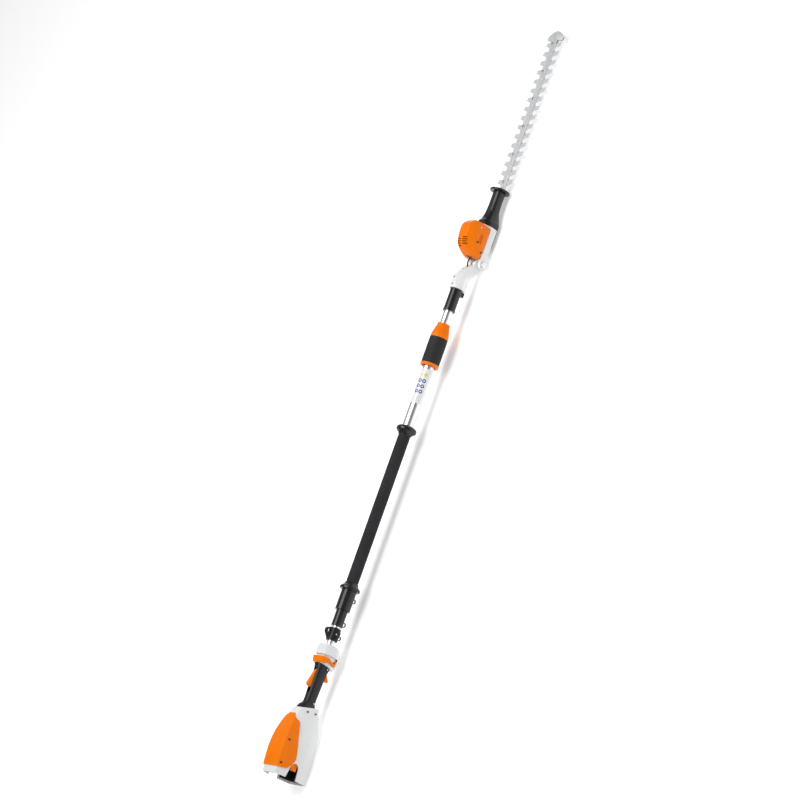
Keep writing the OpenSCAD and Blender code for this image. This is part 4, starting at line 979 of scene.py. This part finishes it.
class TRIMMER_OT_blades(bpy.types.Operator):
    """Grind the cutting edges of the two blades and break the guide bar's edges"""
    bl_idname = "trimmer.blades"
    bl_label = "Blades and guide bar"

    def execute(self, context):
        for n, piece, up in (("upper_blade", "blade_upper", 1), ("lower_blade", "blade_lower", -1)):
            lo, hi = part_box(n)
            level = hi.z if up > 0 else lo.z
            ob = merged_copy(n, piece)
            bm = edit(ob, "EDGE")
            for e in bm.edges:
                if len(e.link_faces) != 2:
                    continue
                a, b = (v.co for v in e.verts)
                on_face = abs(a.z - level) < 1e-5 and abs(b.z - level) < 1e-5
                on_tooth = min(abs(a.y), abs(b.y)) > TOOTH_ROOT and a.x > TOOTH_ROW_START
                turn = abs(e.link_faces[0].normal.z - e.link_faces[1].normal.z)
                e.select_set(on_face and on_tooth and turn > 0.5)
            bmesh.update_edit_mesh(ob.data)
            bpy.ops.mesh.bevel(offset=sizes().tooth_grind, segments=1, affect="EDGES", clamp_overlap=True)
            bm = bmesh.from_edit_mesh(ob.data)
            for f in bm.faces:
                f.material_index = int(0.2 < abs(f.normal.z) < 0.95
                    and abs(f.calc_center_median().y) > TOOTH_ROOT)
            bmesh.update_edit_mesh(ob.data)
            done(ob)
            smooth(ob, 20)
            ob.data.materials.append(bpy.data.materials["blade steel"])
            ob.data.materials.append(bpy.data.materials["ground edge"])
            ready(ob, n, None, "blade_steel", n)
        ob = rounded(merged_copy("guide_bar", "guide_rail"), sizes().metal_round, 35)
        smooth(ob, 30)
        ready(ob, "cutting_head", "blade steel", "blade_steel", "guide_bar")
        return {"FINISHED"}


# ---------------------------------------------------------------- stage


class TRIMMER_OT_stage(bpy.types.Operator):
    """Set the pale floor, the soft light and the camera"""
    bl_idname = "trimmer.stage"
    bl_label = "Floor, light and camera"

    def floor(self):
        """A round floor whose edge curves up to the horizon."""
        clear()
        r = sizes().floor_r
        bpy.ops.mesh.primitive_circle_add(vertices=96, radius=r, fill_type="NGON", location=(0, 0, 0))
        ob = bpy.context.object
        ob.name = "studio_floor"
        bm = edit(ob, "EDGE")
        for e in bm.edges:
            e.select_set(True)
        bmesh.update_edit_mesh(ob.data)
        for k in range(1, 7):
            a0, a1 = math.radians(15 * (k - 1)), math.radians(15 * k)
            rise = FLOOR_CURVE * (math.cos(a0) - math.cos(a1))
            grow = (r + FLOOR_CURVE * math.sin(a1)) / (r + FLOOR_CURVE * math.sin(a0))
            bpy.ops.mesh.extrude_region_move(TRANSFORM_OT_translate={"value": (0, 0, rise)})
            bpy.ops.transform.resize(value=(grow, grow, 1), center_override=(0, 0, 0))
            bpy.ops.mesh.select_all(action="DESELECT")
            bm = bmesh.from_edit_mesh(ob.data)
            bpy.ops.mesh.select_mode(type="EDGE")
            top = max(v.co.z for v in bm.verts)
            for e in bm.edges:
                e.select_set(all(abs(v.co.z - top) < 1e-4 for v in e.verts))
            bmesh.update_edit_mesh(ob.data)
        done(ob)
        smooth(ob, 60)
        m = bpy.data.materials.new("studio paper")
        m.use_nodes = True
        t = m.node_tree
        p = next(n for n in t.nodes if n.type == "BSDF_PRINCIPLED")
        at = node(t, "ShaderNodeTexCoord", (-6, 0)).outputs["Object"]
        d = use(t, "Tone drift", (-4, 0), Vector=at, Scale=0.4)
        c = mix(t, (-2, 0), d.outputs[0], (0.90, 0.90, 0.90), (0.88, 0.88, 0.885))
        t.links.new(c, p.inputs["Base Color"])
        p.inputs["Roughness"].default_value = 0.9
        p.inputs["Emission Color"].default_value = (1, 1, 1, 1)
        p.inputs["Emission Strength"].default_value = FLOOR_GLOW
        paint(ob, "studio paper")

    def lamp(self, name, at, aim, size, power):
        """A rectangular soft lamp, turned to face its aim."""
        light = bpy.data.lights.new(name, "AREA")
        light.shape = "RECTANGLE"
        light.size, light.size_y = size
        light.energy = power
        ob = placed(name, light)
        ob.location = at
        ob.rotation_euler = (Vector(aim) - Vector(at)).to_track_quat("-Z", "Y").to_euler()

    def execute(self, context):
        self.floor()
        scene = context.scene
        world = bpy.data.worlds.new("studio")
        world.use_nodes = True
        sky = world.node_tree.nodes["Background"]
        sky.inputs[0].default_value = (1, 1, 1, 1)
        sky.inputs[1].default_value = WORLD_LIGHT
        scene.world = world
        scene.view_settings.view_transform = "Standard"
        self.lamp("soft_top", (0, 0, 4.6), (0, 0, 0.1), (5.0, 3.0), 235)
        self.lamp("soft_key", (-1.6, -3.4, 2.6), (0, 0, 0.1), (4.0, 1.2), 5)
        self.lamp("soft_fill", (1.5, 3.2, 2.6), (0, 0, 0.1), (4.0, 1.0), 8)
        a, tilt, roll = math.radians(14), math.radians(36), math.radians(19.64)
        back = Vector((-math.sin(a), -math.cos(a) * math.cos(tilt), math.cos(a) * math.sin(tilt)))
        along = (X - X.dot(back) * back).normalized()
        across = back.cross(along)
        right = math.sin(roll) * along - math.cos(roll) * across
        up = math.cos(roll) * along + math.sin(roll) * across
        cam = bpy.data.cameras.new("camera")
        cam.lens = sizes().lens
        cam.sensor_width = 36
        cam.clip_end = 200
        ob = placed("camera", cam)
        pole = (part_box("rear_tube")[0].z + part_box("rear_tube")[1].z) / 2
        aside, above = CAMERA_SHIFT
        at = Vector((0, 0, pole)) + CAMERA_DISTANCE * back + aside * right + above * up
        turn = Matrix((right, up, back)).transposed().to_4x4()
        ob.matrix_world = Matrix.Translation(at) @ turn
        scene.camera = ob
        return {"FINISHED"}


# ---------------------------------------------------------------- panel and registration


STEPS = [
    TRIMMER_OT_finishes,
    TRIMMER_OT_stage,
    TRIMMER_OT_frame,
    TRIMMER_OT_mouldings,
    TRIMMER_OT_vents,
    TRIMMER_OT_screws,
    TRIMMER_OT_long_grip,
    TRIMMER_OT_twist_grip,
    TRIMMER_OT_label,
    TRIMMER_OT_lead,
    TRIMMER_OT_spring,
    TRIMMER_OT_blades,
]


class TRIMMER_PT_pieces(bpy.types.Panel):
    """The trimmer's sizes, colours and pieces"""
    bl_idname = "TRIMMER_PT_pieces"
    bl_label = "Pole hedge trimmer"
    bl_space_type = "VIEW_3D"
    bl_region_type = "UI"
    bl_category = "Trimmer"

    def draw(self, context):
        for group_name in ("trimmer_sizes", "trimmer_colours"):
            box = self.layout.box()
            settings = getattr(context.scene, group_name)
            for key in settings.__annotations__:
                box.prop(settings, key)
        column = self.layout.column()
        for step in STEPS:
            column.operator(step.bl_idname)


CLASSES = [TrimmerSizes, TrimmerColours, *STEPS, TRIMMER_PT_pieces]


def register():
    for c in CLASSES:
        bpy.utils.register_class(c)
    bpy.types.Scene.trimmer_sizes = PointerProperty(type=TrimmerSizes)
    bpy.types.Scene.trimmer_colours = PointerProperty(type=TrimmerColours)


def unregister():
    del bpy.types.Scene.trimmer_colours
    del bpy.types.Scene.trimmer_sizes
    for c in reversed(CLASSES):
        bpy.utils.unregister_class(c)


def main():
    register()
    bpy.ops.trimmer.finishes()
    bpy.ops.trimmer.stage()
    bpy.ops.trimmer.frame()
    bpy.ops.trimmer.mouldings()
    bpy.ops.trimmer.vents()
    bpy.ops.trimmer.screws()
    bpy.ops.trimmer.long_grip()
    bpy.ops.trimmer.twist_grip()
    bpy.ops.trimmer.label()
    bpy.ops.trimmer.lead()
    bpy.ops.trimmer.spring()
    bpy.ops.trimmer.blades()
    clear()


if __name__ == "__main__":
    main()
